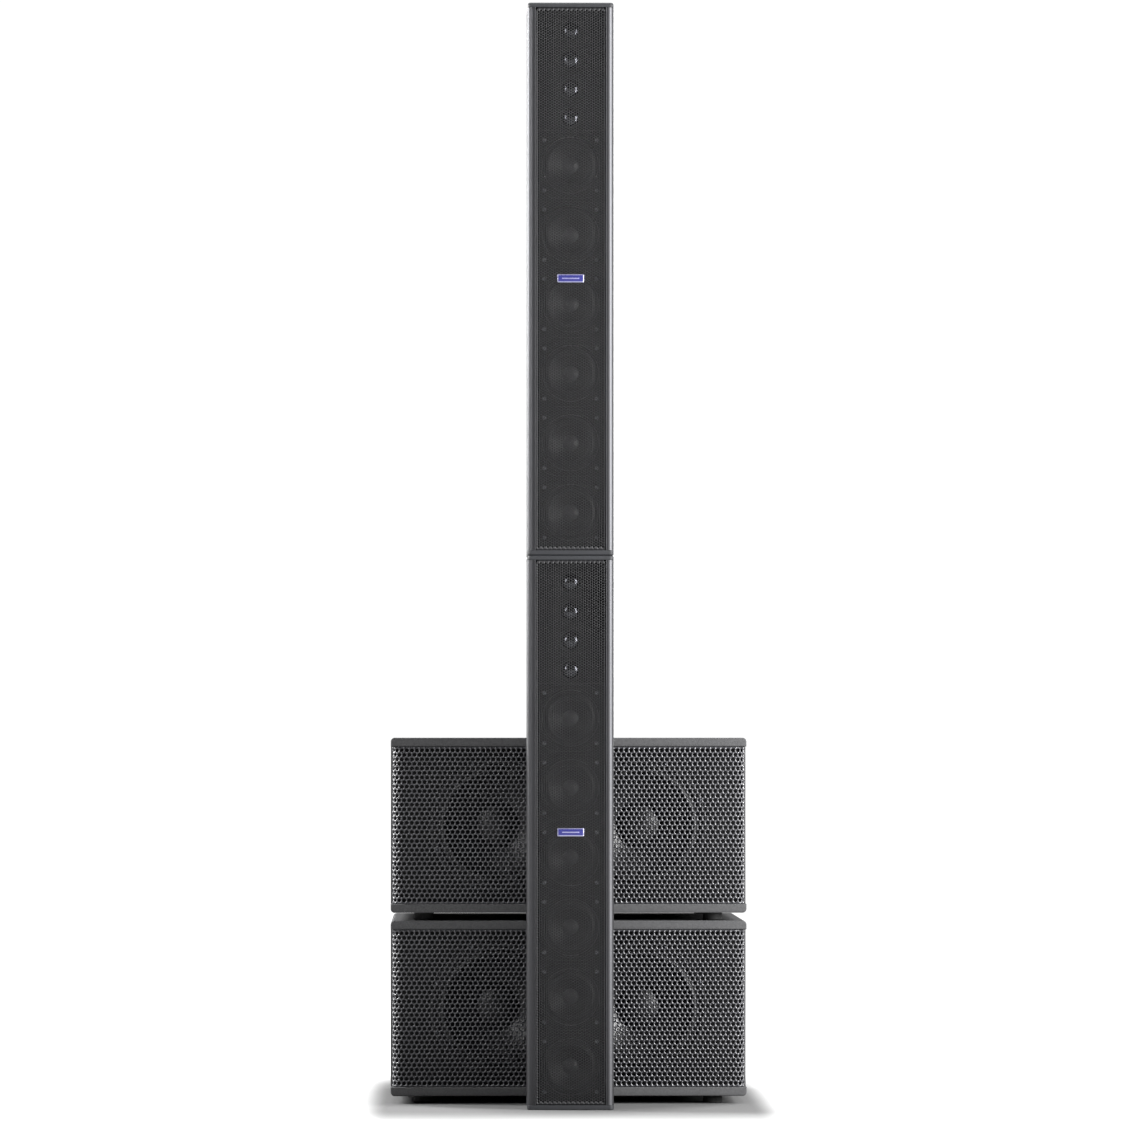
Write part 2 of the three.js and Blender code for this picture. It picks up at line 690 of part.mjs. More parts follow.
/** The plate and pins on the columns' seam, and the bracket that ties them to the subwoofers. */
function buildRigging() {
  const group = new THREE.Group();
  group.position.set(0, COLUMN_FRONT, 0);
  const plate = piece('link_plate', linkPlate(), FINISH.steel());
  plate.position.z = LINK_SEAM;
  group.add(plate);
  const pinFace = COLUMN.depth + SLIT + LINK.plate + SLIT;
  [['lower', -1], ['upper', 1]].forEach(([level, sign]) => {
    const pin = piece(`link_pin_${level}`, linkPin(), FINISH.pin());
    pin.position.set(0, pinFace, LINK_SEAM + sign * LINK.pinFromSeam);
    group.add(pin);
  });
  const tie = piece('tie_bracket', tieBracket(), FINISH.steel());
  tie.position.z = SUB_PITCH + SLIT;
  group.add(tie);
  return group;
}

const system = new THREE.Group();
system.add(buildColumn('lower', 0));
system.add(buildColumn('upper', COLUMN.height + SLIT));
system.add(buildSub('lower', FOOT.height, 0));
system.add(buildSub('upper', FOOT.height + SUB_PITCH, SLIT));
system.add(buildRigging());

export default system;
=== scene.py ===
"""Looks of a column PA system: two column loudspeakers in front of two stacked subwoofers.

Shapes are worked out in millimetres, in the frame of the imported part: X to the right, Y from the
front to the back, Z up from the floor. A shape is a pair of arrays: its points, and the
triangles that join them.
"""
import json
import math

import bpy
import numpy as np
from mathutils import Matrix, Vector
from mathutils.geometry import tessellate_polygon

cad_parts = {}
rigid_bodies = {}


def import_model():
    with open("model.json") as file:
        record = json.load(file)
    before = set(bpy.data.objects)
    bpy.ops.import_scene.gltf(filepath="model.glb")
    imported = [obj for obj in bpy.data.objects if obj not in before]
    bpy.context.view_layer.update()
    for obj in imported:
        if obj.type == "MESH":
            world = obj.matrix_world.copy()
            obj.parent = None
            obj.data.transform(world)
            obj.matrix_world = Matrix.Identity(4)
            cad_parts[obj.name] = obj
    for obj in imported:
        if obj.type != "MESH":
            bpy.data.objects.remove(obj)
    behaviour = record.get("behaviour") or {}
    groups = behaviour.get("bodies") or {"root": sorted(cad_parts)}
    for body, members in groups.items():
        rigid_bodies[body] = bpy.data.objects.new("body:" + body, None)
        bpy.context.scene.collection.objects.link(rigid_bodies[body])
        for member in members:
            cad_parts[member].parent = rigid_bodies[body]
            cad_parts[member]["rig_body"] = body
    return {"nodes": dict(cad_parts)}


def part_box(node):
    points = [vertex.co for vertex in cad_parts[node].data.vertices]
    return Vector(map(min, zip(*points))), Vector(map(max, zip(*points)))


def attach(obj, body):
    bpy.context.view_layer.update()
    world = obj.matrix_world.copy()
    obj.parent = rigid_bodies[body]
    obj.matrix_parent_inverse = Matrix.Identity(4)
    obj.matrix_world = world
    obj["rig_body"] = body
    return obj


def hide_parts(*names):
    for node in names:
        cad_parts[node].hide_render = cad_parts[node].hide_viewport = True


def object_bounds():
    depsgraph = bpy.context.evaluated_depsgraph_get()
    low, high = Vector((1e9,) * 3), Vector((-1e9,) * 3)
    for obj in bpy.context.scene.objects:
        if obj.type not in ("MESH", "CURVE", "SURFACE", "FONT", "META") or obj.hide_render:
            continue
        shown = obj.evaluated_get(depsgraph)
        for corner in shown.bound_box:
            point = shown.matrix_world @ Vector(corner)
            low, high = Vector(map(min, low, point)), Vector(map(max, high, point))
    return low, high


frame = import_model()
cad_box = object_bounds()

MM = 0.001
LEVELS = ("lower", "upper")
SIDES = (("left", -1), ("right", 1))


# ---------------------------------------------------------------- places, read from the frame

def corners(name):
    """Lowest and highest corner of a CAD node, in millimetres."""
    low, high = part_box(name)
    return np.array(low) / MM, np.array(high) / MM


def middle(name):
    """Centre of a CAD node's box, in millimetres."""
    low, high = corners(name)
    return (low + high) / 2


# ---------------------------------------------------------------- shapes

def outward(points, triangles):
    """Turns the triangles to face outwards: the sum of a . (b x c) over them is then positive."""
    a, b, c = (points[triangles[:, k]] for k in range(3))
    if np.einsum("ij,ij->", a - points.mean(0), np.cross(b - points.mean(0), c - points.mean(0))) < 0:
        triangles = triangles[:, ::-1]
    return points, triangles


def weld(points, triangles):
    """Merges points that coincide to a micrometre; drops triangles that lose a corner by it."""
    _, first, same = np.unique(np.round(points, 3), axis=0, return_index=True, return_inverse=True)
    triangles = same.reshape(-1)[triangles]
    a, b, c = triangles.T
    keep = (a != b) & (b != c) & (c != a)
    return points[first], triangles[keep]


def together(*shapes):
    """Several closed shapes as one, each with its faces turned outwards first."""
    points, triangles, count = [], [], 0
    for shape in shapes:
        some, faces = outward(*weld(*shape))
        points.append(some)
        triangles.append(faces + count)
        count += len(some)
    return np.concatenate(points), np.concatenate(triangles)


def moved(shape, x=0.0, y=0.0, z=0.0):
    """A shape carried along by x, y and z."""
    points, triangles = shape
    return points + np.array([x, y, z]), triangles


def grid(points, around=False, along=False):
    """Triangles over an array of points [u, v, xyz]; a direction that closes joins its ends."""
    rows, columns = points.shape[:2]
    index = np.arange(rows * columns).reshape(rows, columns)
    if around:
        index = np.concatenate([index, index[:1]], 0)
    if along:
        index = np.concatenate([index, index[:, :1]], 1)
    a, b = index[:-1, :-1].ravel(), index[1:, :-1].ravel()
    c, d = index[1:, 1:].ravel(), index[:-1, 1:].ravel()
    triangles = np.concatenate([np.stack([a, b, c], 1), np.stack([a, c, d], 1)])
    return points.reshape(-1, 3), triangles


def turned(profile, sides=48, x=0.0, z=0.0, closed=False):
    """A solid of revolution about a line along Y through x, z.

    The profile's points are (radius, y). At angle t a point goes to
    (x + radius cos t, y, z + radius sin t). The profile starts and ends on the axis, or closes.
    """
    radius, depth = np.array(profile, float).T
    angle = np.linspace(0, 2 * np.pi, sides, endpoint=False)[:, None]
    across, up = x + radius * np.cos(angle), z + radius * np.sin(angle)
    points = np.stack([across, np.broadcast_to(depth, across.shape), up], -1)
    return grid(points, around=True, along=closed)


def arc(centre, radius, start, end, steps):
    """Points on an arc in a plane, between two angles in degrees."""
    angle = np.radians(np.linspace(start, end, steps))
    return np.stack([centre[0] + radius * np.cos(angle), centre[1] + radius * np.sin(angle)], 1)


def rounded_rectangle(half_width, half_height, radius, inset=0.0, steps=6):
    """Outline of a rectangle about the origin with arcs for corners, drawn in by inset.

    radius is one value, or (lower, upper). A corner's arc shrinks with the inset, down to a
    tenth of a millimetre.
    """
    lower, upper = (radius, radius) if np.isscalar(radius) else radius
    w, h = half_width - inset, half_height - inset
    a, b = max(lower - inset, 0.1), max(upper - inset, 0.1)
    return np.concatenate([
        arc((w - a, a - h), a, -90, 0, steps), arc((w - b, h - b), b, 0, 90, steps),
        arc((b - w, h - b), b, 90, 180, steps), arc((a - w, a - h), a, 180, 270, steps),
    ])


AXES = {"x": (1, 2, 0), "y": (0, 2, 1), "z": (0, 1, 2)}


def laid(flat, height, axis):
    """Points of a plane outline at a height along an axis: x, y or z."""
    first, second, third = AXES[axis]
    points = np.zeros((*flat.shape[:-1], 3))
    points[..., first], points[..., second] = flat[..., 0], flat[..., 1]
    points[..., third] = height
    return points


def looped(rings, axis):
    """A closed solid through outlines, each given with its height; the last joins the first."""
    points = np.stack([laid(flat, height, axis) for flat, height in rings])
    return grid(points, around=True, along=True)


def slab(plan, low, high, edge, axis="y", corner_steps=4, rim_steps=4):
    """A plate with rounded rims; plan is its half width, its half height and its corner radius.

    edge is one radius, or (lower, upper). At angle t from the flat face a rim's outline is
    drawn in by edge (1 - sin t), at a height of edge (1 - cos t). Both faces close on a point.
    """
    under, over = (edge, edge) if np.isscalar(edge) else edge
    angle = np.linspace(0, np.pi / 2, rim_steps)
    inset, rise = 1 - np.sin(angle), 1 - np.cos(angle)
    rims = [(under * i, low + under * r) for i, r in zip(inset, rise)]
    rims += [(over * i, high - over * r) for i, r in zip(inset[::-1], rise[::-1])]
    rings = [laid(rounded_rectangle(*plan, i, corner_steps), height, axis) for i, height in rims]
    rings.insert(0, np.broadcast_to(rings[0].mean(0), rings[0].shape))
    rings.append(np.broadcast_to(rings[-1].mean(0), rings[-1].shape))
    return grid(np.stack(rings), along=True)


def box(low, high, edge=0.6):
    """A block between two corners with slightly rounded upright and level edges."""
    low, high = np.array(low, float), np.array(high, float)
    centre, half = (low + high) / 2, (high - low) / 2
    edge = min(edge, half.min() * 0.9)
    return moved(slab((half[0], half[1], edge), -half[2], half[2], edge, "z", 3, 3), *centre)


def prism(outline, low, high, axis="z"):
    """A plane outline carried straight along an axis, with flat ends."""
    sides, triangles = grid(np.stack([laid(outline, low, axis), laid(outline, high, axis)]), along=True)
    ends = np.array(tessellate_polygon([[Vector((*p, 0)) for p in outline]]))
    return sides, np.concatenate([triangles, ends[:, ::-1], ends + len(outline)])


def thickened(front, triangles, back):
    """A closed sheet between two copies of one triangulated surface.

    Edges that belong to one triangle only are the sheet's rims, and get a wall.
    """
    count = len(front)
    a = triangles.ravel()
    b = triangles[:, [1, 2, 0]].ravel()
    single = ~np.isin(a * count + b, b * count + a)
    a, b = a[single], b[single]
    walls = np.concatenate([np.stack([b, a, a + count], 1), np.stack([b, a + count, b + count], 1)])
    points = np.concatenate([front, back])
    return points, np.concatenate([triangles, triangles[:, ::-1] + count, walls])


def perforated(width, height, step, pitch, radius, corners_per_side, margin):
    """A flat rectangle about the origin, full of holes, as points (u, v) and triangles.

    Holes stand in lines along v, pitch apart; the lines are step apart, and every other line
    is moved by half a pitch, so each hole has six neighbours. A hole is a polygon of 6 x
    corners_per_side corners. Strips join the facing corners of neighbours, and a triangle fills
    the middle of each three. Outside the last holes stands one ring of imagined holes, whose
    corners are all moved onto the rectangle's edge, which makes the blank border.
    """
    lines = int((width - 2 * margin) // step)
    rows = int((height - 2 * margin) // pitch - 0.5)
    line, row = np.meshgrid(np.arange(-1, lines + 1), np.arange(-1, rows + 1), indexing="ij")
    u = (line - (lines - 1) / 2) * step
    v = (row - (rows - 1) / 2) * pitch + np.where(line % 2 == 1, pitch / 4, -pitch / 4)
    count = 6 * corners_per_side
    angle = np.arange(count) * 2 * np.pi / count
    points = np.stack([
        u[..., None] + radius * np.cos(angle), v[..., None] + radius * np.sin(angle)], -1)
    points[0, ..., 0], points[-1, ..., 0] = -width / 2, width / 2
    points[:, 0, :, 1], points[:, -1, :, 1] = -height / 2, height / 2
    real = (line >= 0) & (line < lines) & (row >= 0) & (row < rows)

    index = np.arange(points.shape[0] * points.shape[1]).reshape(points.shape[:2])
    up = np.where(line % 2 == 1, 1, 0)

    def neighbour(across, rise):
        """Index of the hole that lies across lines and rise rows away, and whether there is one."""
        other_line, other_row = line + 1 + across, row + 1 + rise
        inside = (other_line < points.shape[0]) & (other_row >= 0) & (other_row < points.shape[1])
        other_line = np.clip(other_line, 0, points.shape[0] - 1)
        other_row = np.clip(other_row, 0, points.shape[1] - 1)
        return index[other_line, other_row], inside

    flat_real = real.ravel()
    above, has_above = neighbour(0, 1)
    right_up, has_right_up = neighbour(1, up)
    right_down, has_right_down = neighbour(1, up - 1)
    triangles = []

    def strip(other, exists, direction):
        """Joins each hole's corners that face a neighbour, at direction degrees, to its own."""
        use = exists & (real | flat_real[other])
        mine, theirs = index[use] * count, other[use] * count
        start = round((direction - 30) / 360 * count)
        facing = round((direction + 210) / 360 * count)
        for k in range(corners_per_side):
            a, b = mine + (start + k) % count, mine + (start + k + 1) % count
            c, d = theirs + (facing - k - 1) % count, theirs + (facing - k) % count
            triangles.append(np.stack([a, d, c], 1))
            triangles.append(np.stack([a, c, b], 1))

    def corner(first, second, exists, angles):
        """Fills the middle between a hole and two neighbours that touch each other."""
        use = exists & (real | flat_real[first] | flat_real[second])
        triangles.append(np.stack([
            hole[use] * count + round(a / 360 * count) % count
            for hole, a in zip((index, first, second), angles)], 1))

    strip(above, has_above, 90)
    strip(right_up, has_right_up, 30)
    strip(right_down, has_right_down, 330)
    corner(right_up, above, has_above & has_right_up, (60, 180, 300))
    corner(right_down, right_up, has_right_up & has_right_down, (0, 120, 240))
    flat = np.concatenate([points.reshape(-1, 2), np.zeros((points.size // 2, 1))], 1)
    flat, faces = weld(flat, np.concatenate(triangles))
    used, faces = np.unique(faces, return_inverse=True)
    return flat[used, :2], faces.reshape(-1, 3)


HOLE_SIDES = 48


def round_holes(half_width, low, high, holes, radius, front, back):
    """An upright board with a line of round holes up its middle, between two faces.

    Each hole at height h fills a cell from halfway to its neighbours. In a cell the surface
    runs from the hole's circle to the cell's rectangle along rays from the hole's centre.
    """
    edges = [low, *((np.array(holes[:-1]) + np.array(holes[1:])) / 2), high]
    angle = np.linspace(0, 2 * np.pi, HOLE_SIDES, endpoint=False) + np.pi / HOLE_SIDES
    ray = np.stack([np.cos(angle), np.sin(angle)], 1)
    shapes = []
    for height, bottom, top in zip(holes, edges[:-1], edges[1:]):
        reach_x = half_width / np.maximum(np.abs(ray[:, 0]), 1e-9)
        limit = np.where(ray[:, 1] > 0, top - height, height - bottom)
        reach_y = limit / np.maximum(np.abs(ray[:, 1]), 1e-9)
        rim = ray * np.minimum(reach_x, reach_y)[:, None]
        rim = snap_corners(rim, half_width, bottom - height, top - height)
        circle, rim = ray * radius + np.array([0, height]), rim + np.array([0, height])
        shapes.append(looped(((circle, front), (rim, front), (rim, back), (circle, back)), "y"))
    return together(*shapes)


def lying_round_holes(half_height, low, high, holes, radius, front, back, height):
    """The same board laid on its side: its holes stand in a line along X, at a height."""
    points, triangles = round_holes(half_height, low, high, holes, radius, front, back)
    return np.stack([points[:, 2], points[:, 1], points[:, 0] + height], 1), triangles[:, ::-1]


def snap_corners(rim, half_width, bottom, top):
    """Moves the rim point nearest each corner of a rectangle onto that corner."""
    rim = rim.copy()
    for corner in ((-half_width, bottom), (half_width, bottom), (half_width, top), (-half_width, top)):
        nearest = np.argmin(((rim - corner) ** 2).sum(1))
        rim[nearest] = corner
    return rim


# ---------------------------------------------------------------- materials

def linear(colour):
    """A '#rrggbb' colour as linear red, green, blue and alpha."""
    values = [int(colour[i:i + 2], 16) / 255 for i in (1, 3, 5)]
    return (*[v / 12.92 if v <= 0.04045 else ((v + 0.055) / 1.055) ** 2.4 for v in values], 1.0)


def add_node(tree, kind, inputs=None, **settings):
    """Adds a node with its settings; an input is a value or another node's output."""
    made = tree.nodes.new(kind)
    for name, value in settings.items():
        setattr(made, name, value)
    for name, value in (inputs or {}).items():
        if isinstance(value, bpy.types.NodeSocket):
            tree.links.new(value, made.inputs[name])
        else:
            made.inputs[name].default_value = value
    return made


def start_material(name):
    """An empty material, its node tree, and the place of each point in the object's frame."""
    material = bpy.data.materials.new(name)
    material.use_nodes = True
    tree = material.node_tree
    tree.nodes.clear()
    place = add_node(tree, "ShaderNodeTexCoord").outputs["Object"]
    return material, tree, place


def end_material(tree, inputs):
    """Closes a material with the surface shader, given its inputs, and the output."""
    shader = add_node(tree, "ShaderNodeBsdfPrincipled", inputs)
    add_node(tree, "ShaderNodeOutputMaterial", {"Surface": shader.outputs["BSDF"]})


def mottle(tree, place, grain, dark, light, detail=2.0):
    """A colour that wanders between two values over patches of a real size in millimetres."""
    noise = add_node(tree, "ShaderNodeTexNoise", {
        "Vector": place, "Scale": 1 / (grain * MM), "Detail": detail})
    ramp = add_node(tree, "ShaderNodeMix", {
        "Factor": noise.outputs["Fac"], "A": linear(dark), "B": linear(light)}, data_type="RGBA")
    return ramp.outputs["Result"]


def spread(tree, place, grain, low, high):
    """A value that wanders between low and high over patches of a real size in millimetres."""
    noise = add_node(tree, "ShaderNodeTexNoise", {
        "Vector": place, "Scale": 1 / (grain * MM), "Detail": 3.0})
    scaled = add_node(tree, "ShaderNodeMapRange", {
        "Value": noise.outputs["Fac"], "From Min": 0.3, "From Max": 0.7, "To Min": low, "To Max": high})
    return scaled.outputs["Result"]


def bumpy(tree, place, grain, strength, depth, detail=3.0, distortion=0.0):
    """A normal over bumps of a real size and depth in millimetres."""
    noise = add_node(tree, "ShaderNodeTexNoise", {
        "Vector": place, "Scale": 1 / (grain * MM), "Detail": detail, "Distortion": distortion})
    bump = add_node(tree, "ShaderNodeBump", {
        "Height": noise.outputs["Fac"], "Strength": strength, "Distance": depth * MM})
    return bump.outputs["Normal"]


def textured_paint():
    """Scratch-proof water-based cabinet paint, rolled on thick: a pebbled, half-matt black.

    Its real grain is 0.5 to 1 mm; it is drawn at 1.6 mm so that it shows.
    """
    material, tree, place = start_material("textured_cabinet_paint")
    pebbles = add_node(tree, "ShaderNodeTexVoronoi", {
        "Vector": place, "Scale": 1 / (1.6 * MM), "Randomness": 1.0}, feature="SMOOTH_F1")
    bump = add_node(tree, "ShaderNodeBump", {
        "Height": pebbles.outputs["Distance"], "Strength": 0.55, "Distance": 0.35 * MM})
    end_material(tree, {
        "Base Color": mottle(tree, place, 2.2, "#2d2d2e", "#454546"),
        "Roughness": spread(tree, place, 3.0, 0.7, 0.84),
        "Normal": bump.outputs["Normal"],
        "IOR": 1.5,
        "Specular IOR Level": 0.2,
    })
    return material


def anodised_extrusion():
    """Black-anodised aluminium profile: satin metal with die lines along its length.

    Its patches are 0.9 mm across and 260 mm long, so its place is stretched first, and is then
    used at full scale, which is a patch of 1000 mm to the noise.
    """
    material, tree, place = start_material("anodised_aluminium_extrusion")
    across, length, whole = 0.9 * MM, 260 * MM, 1 / MM
    stretched = add_node(tree, "ShaderNodeMapping", {
        "Vector": place, "Scale": (1 / across, 1 / across, 1 / length)})
    along = stretched.outputs["Vector"]
    end_material(tree, {
        "Base Color": mottle(tree, along, whole, "#2e2e30", "#38383a"),
        "Metallic": 0.85,
        "Roughness": spread(tree, along, whole, 0.42, 0.48),
        "Normal": bumpy(tree, along, whole, 0.12, 0.05, 4.0),
    })
    return material


def finish(name, tone, gloss, bumps=(), ior=1.5, shine=0.5, coat=0.0):
    """A finish whose tone and gloss wander, over bumps or on a smooth surface.

    tone, gloss and bumps are what mottle, spread and bumpy take after the place. shine is the
    specular level: 0.5 for an ordinary surface, less for a dead-matt one.
    """
    material, tree, place = start_material(name)
    inputs = {"Base Color": mottle(tree, place, *tone), "Roughness": spread(tree, place, *gloss)}
    if bumps:
        inputs["Normal"] = bumpy(tree, place, *bumps)
    end_material(tree, {
        **inputs, "IOR": ior, "Specular IOR Level": shine, "Coat Weight": coat, "Coat Roughness": 0.25})
    return material


def powder_coat(name, dark, light, roughness, grain=1.4, bump_depth=0.03, shine=0.5):
    """Black powder coat on steel or alloy: half-gloss with a fine orange peel."""
    return finish(name, (grain * 3, dark, light), (grain * 8, roughness - 0.05, roughness + 0.05),
                  (grain, 0.3, bump_depth, 2.0), shine=shine)


def moulded_plastic(name, dark, light, roughness, shine=0.5):
    """Glass-filled moulded plastic with a spark-eroded surface, about 0.3 mm grain drawn at 0.8."""
    return finish(name, (5, dark, light), (6, roughness - 0.06, roughness + 0.06),
                  (0.8, 0.25, 0.05), 1.49, shine)


def paper_cone(name, dark, light, roughness, coat, shine=0.5):
    """Black paper cone pulp: fibres, under a moisture coating whose weight is coat."""
    return finish(name, (4, dark, light, 4.0), (5, roughness - 0.06, roughness + 0.06),
                  (2.5, 0.35, 0.12, 5.0, 1.5), shine=shine, coat=coat)


def surround_rubber(name, shine=0.5):
    """Butyl rubber roll: deep black, a soft sheen on the crest."""
    return finish(name, (6, "#09090a", "#0f0f10"), (8, 0.38, 0.5), ior=1.52, shine=shine)


def foot_rubber():
    """Moulded rubber foot: matt black with a dusty bloom."""
    return finish("moulded_rubber_foot", (5, "#0e0e0e", "#1a1a1a"), (9, 0.75, 0.9),
                  (0.7, 0.3, 0.05, 2.0), 1.52)


def plain_gloss(name, dark, light, roughness, shine=0.5):
    """Polished moulding or lacquer: smooth, with slow drifts of tone."""
    return finish(name, (7, dark, light), (10, roughness, roughness + 0.06), shine=shine)


def bare_metal(name, colour, roughness):
    """Turned or pressed bright metal: its gloss varies over patches of 0.6 mm."""
    material, tree, place = start_material(name)
    end_material(tree, {
        "Base Color": linear(colour),
        "Metallic": 1.0,
        "Roughness": spread(tree, place, 0.6, roughness * 0.8, roughness * 1.25),
    })
    return material


def lit_lens(name, colour, strength):
    """Small diffused indicator lamp, faintly lit."""
    material, tree, place = start_material(name)
    end_material(tree, {
        "Base Color": linear(colour),
        "Roughness": spread(tree, place, 2, 0.2, 0.3),
        "Emission Color": linear(colour),
        "Emission Strength": strength,
    })
    return material


MATERIALS = {
    "paint": textured_paint(),
    "extrusion": anodised_extrusion(),
    "end_plate": powder_coat("powder_coated_end_plate", "#17181a", "#202124", 0.6, shine=0.25),
    "column_grille": powder_coat("powder_coated_fine_grille", "#101012", "#171719", 0.5, shine=0.32),
    "sub_grille": powder_coat("powder_coated_round_hole_grille", "#202023", "#303034", 0.37, 2.0),
    "matt_moulding": moulded_plastic("moulded_matt_plastic", "#0b0b0c", "#131314", 0.48),
    # Subwoofer baffle, set back behind the grille: black lacquer with painted shade, drawn darker than
    # real lacquer
    "baffle": plain_gloss("black_baffle_lacquer_painted_shade", "#040405", "#070708", 0.5, 0.2),
    "basket": powder_coat("painted_cast_basket", "#0a0a0b", "#101012", 0.42, shine=0.3),
    "cone": paper_cone("coated_paper_cone", "#09090b", "#101012", 0.36, 0.2),
    "surround": surround_rubber("butyl_rubber_surround"),
    # Inner parts of the columns, behind the fine grille: black, with painted shade that draws board,
    # basket and cone darker than the same kinds of part in the subwoofers
    "small_board_painted_shade": moulded_plastic("moulded_board_darkened_as_shade", "#030304", "#060607", 0.6, 0.18),
    "small_basket_painted_shade": powder_coat("pressed_basket_darkened_as_shade", "#040405", "#070708", 0.6, shine=0.18),
    "small_cone_painted_shade": paper_cone("uncoated_paper_cone_darkened_as_shade", "#040405", "#070708", 0.5, 0.0, 0.2),
    "small_surround": surround_rubber("dull_rubber_surround", 0.18),
    "dust_cap": plain_gloss("lacquered_dust_cap", "#08080a", "#0e0e10", 0.4, 0.35),
    "dome": bare_metal("annealed_titanium_dome", "#47484c", 0.14),
    "foot": foot_rubber(),
    "panel": powder_coat("anodised_rear_panel", "#141517", "#1d1e20", 0.36, 1.0, 0.02),
    "socket": plain_gloss("moulded_socket_body", "#101012", "#191a1c", 0.34),
    "contact": bare_metal("tinned_contact", "#b9b4a4", 0.3),
    "screw": bare_metal("blackened_steel_screw", "#4b4c50", 0.35),
    "zinc": bare_metal("zinc_plated_steel", "#989a9e", 0.42),
    "pin": bare_metal("stainless_pull_pin", "#a4a5a8", 0.4),
    "steel": powder_coat("powder_coated_steel_plate", "#1a1b1d", "#262729", 0.45),
    "knob": moulded_plastic("moulded_control_knob", "#101011", "#1a1a1b", 0.42),
    "rocker": plain_gloss("polished_rocker", "#0d0d0e", "#151517", 0.2),
    "print": plain_gloss("screen_printed_marks", "#cfd0d2", "#dcdddf", 0.5),
    "badge": bare_metal("satin_badge_metal", "#b4b3cc", 0.3),
    "badge_field": plain_gloss("enamelled_badge_field", "#191a52", "#20225f", 0.3),
    "green_lamp": lit_lens("green_indicator_lens", "#3fbf5a", 1.5),
    "amber_lamp": lit_lens("amber_indicator_lens", "#d98a2b", 0.3),
}


# ---------------------------------------------------------------- pieces

def add_piece(name, shape, material, body="root", stands_for=(), sharp=32):
    """Makes a named piece of a shape, puts it on its body, and hides the nodes it stands for."""
    points, triangles = outward(*weld(*shape))
    mesh = bpy.data.meshes.new(name)
    mesh.from_pydata((points * MM).tolist(), [], triangles.tolist())
    mesh.shade_smooth()
    mesh.set_sharp_from_angle(angle=math.radians(sharp))
    mesh.materials.append(MATERIALS[material])
    made = bpy.data.objects.new(name, mesh)
    bpy.context.scene.collection.objects.link(made)
    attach(made, body)
    if stands_for:
        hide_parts(*stands_for)


def finish_node(name, material):
    """Gives a CAD node that is shown as it is its finished material."""
    mesh = frame["nodes"][name].data
    mesh.materials.clear()
    mesh.materials.append(MATERIALS[material])


# ---------------------------------------------------------------- camera, lights, floor

EYE_DISTANCE = 10000.0     # camera to the columns' front
EYE_SIDE = -180.0
EYE_HEIGHT = 555.0
AIM_SIDE = -1.0
AIM_HEIGHT = 812.6
LENS = 209.6               # for a sensor 36 wide


def add_camera():
    """A long lens at sitting height, tipped up a little, almost square to the front."""
    front = corners("lower_column_grille")[0][1]
    place = Vector((EYE_SIDE, front - EYE_DISTANCE, EYE_HEIGHT)) * MM
    aim = Vector((AIM_SIDE, front, AIM_HEIGHT)) * MM
    data = bpy.data.cameras.new("camera")
    data.lens, data.sensor_width = LENS, 36.0
    data.clip_end = 200.0
    camera = bpy.data.objects.new("camera", data)
    camera.location = place
    camera.rotation_euler = (aim - place).to_track_quat("-Z", "Y").to_euler()
    bpy.context.scene.collection.objects.link(camera)
    bpy.context.scene.camera = camera


def add_softbox(name, place, aim, width, height, power, colour="#ffffff"):
    """A rectangular studio light at a place, in metres, turned to an aim, and unseen itself."""
    data = bpy.data.lights.new(name, "AREA")
    data.shape, data.size, data.size_y = "RECTANGLE", width, height
    data.energy, data.color = power, linear(colour)[:3]
    light = bpy.data.objects.new(name, data)
    light.location = place
    light.rotation_euler = (Vector(aim) - Vector(place)).to_track_quat("-Z", "Y").to_euler()
    light.visible_camera = False
    bpy.context.scene.collection.objects.link(light)


def add_lights():
    """A tall strong box far to the right, a small high one to the left, a strip beside the left
    edges, one above, two behind."""
    add_softbox("key_right", (2.55, -1.8, 1.4), (0, -0.25, 0.85), 0.85, 2.2, 465)
    add_softbox("fill_left", (-2.1, -2.3, 1.9), (0, -0.25, 1.3), 0.6, 1.7, 85)
    add_softbox("edge_left", (-3.0, 0.5, 2.0), (0, -0.3, 1.3), 0.5, 1.7, 330)
    add_softbox("overhead", (0, 0.1, 4.0), (0, 0.1, 0), 3.6, 3.6, 300)
    add_softbox("back_right", (2.4, 2.8, 1.6), (0, 0, 0.7), 1.2, 2.0, 160)
    add_softbox("back_left", (-2.4, 2.6, 1.8), (0, 0, 0.7), 1.2, 2.0, 160)


def set_world():
    """White to the eye; nearly dark as light, so that black finishes keep black edges."""
    world = bpy.data.worlds.new("studio")
    world.use_nodes = True
    tree = world.node_tree
    tree.nodes.clear()
    path = add_node(tree, "ShaderNodeLightPath")
    strength = add_node(tree, "ShaderNodeMapRange", {
        "Value": path.outputs["Is Camera Ray"], "To Min": 0.08, "To Max": 1.05})
    sky = add_node(tree, "ShaderNodeBackground", {
        "Color": linear("#ffffff"), "Strength": strength.outputs["Result"]})
    add_node(tree, "ShaderNodeOutputWorld", {"Surface": sky.outputs["Background"]})
    bpy.context.scene.world = world
    bpy.context.scene.view_settings.view_transform = "Standard"


FLOOR_HALF = 60.0          # these in metres
# painted shadow round the footprint: the floor's emission is nothing at the first distance, full at the
# second, and counts a sideways distance this many times
PAINTED_SHADOW_CORE = 0.03
PAINTED_SHADOW_EDGE = 0.5
PAINTED_SHADOW_SIDEWAYS = 8.0        # times as steep to the sides


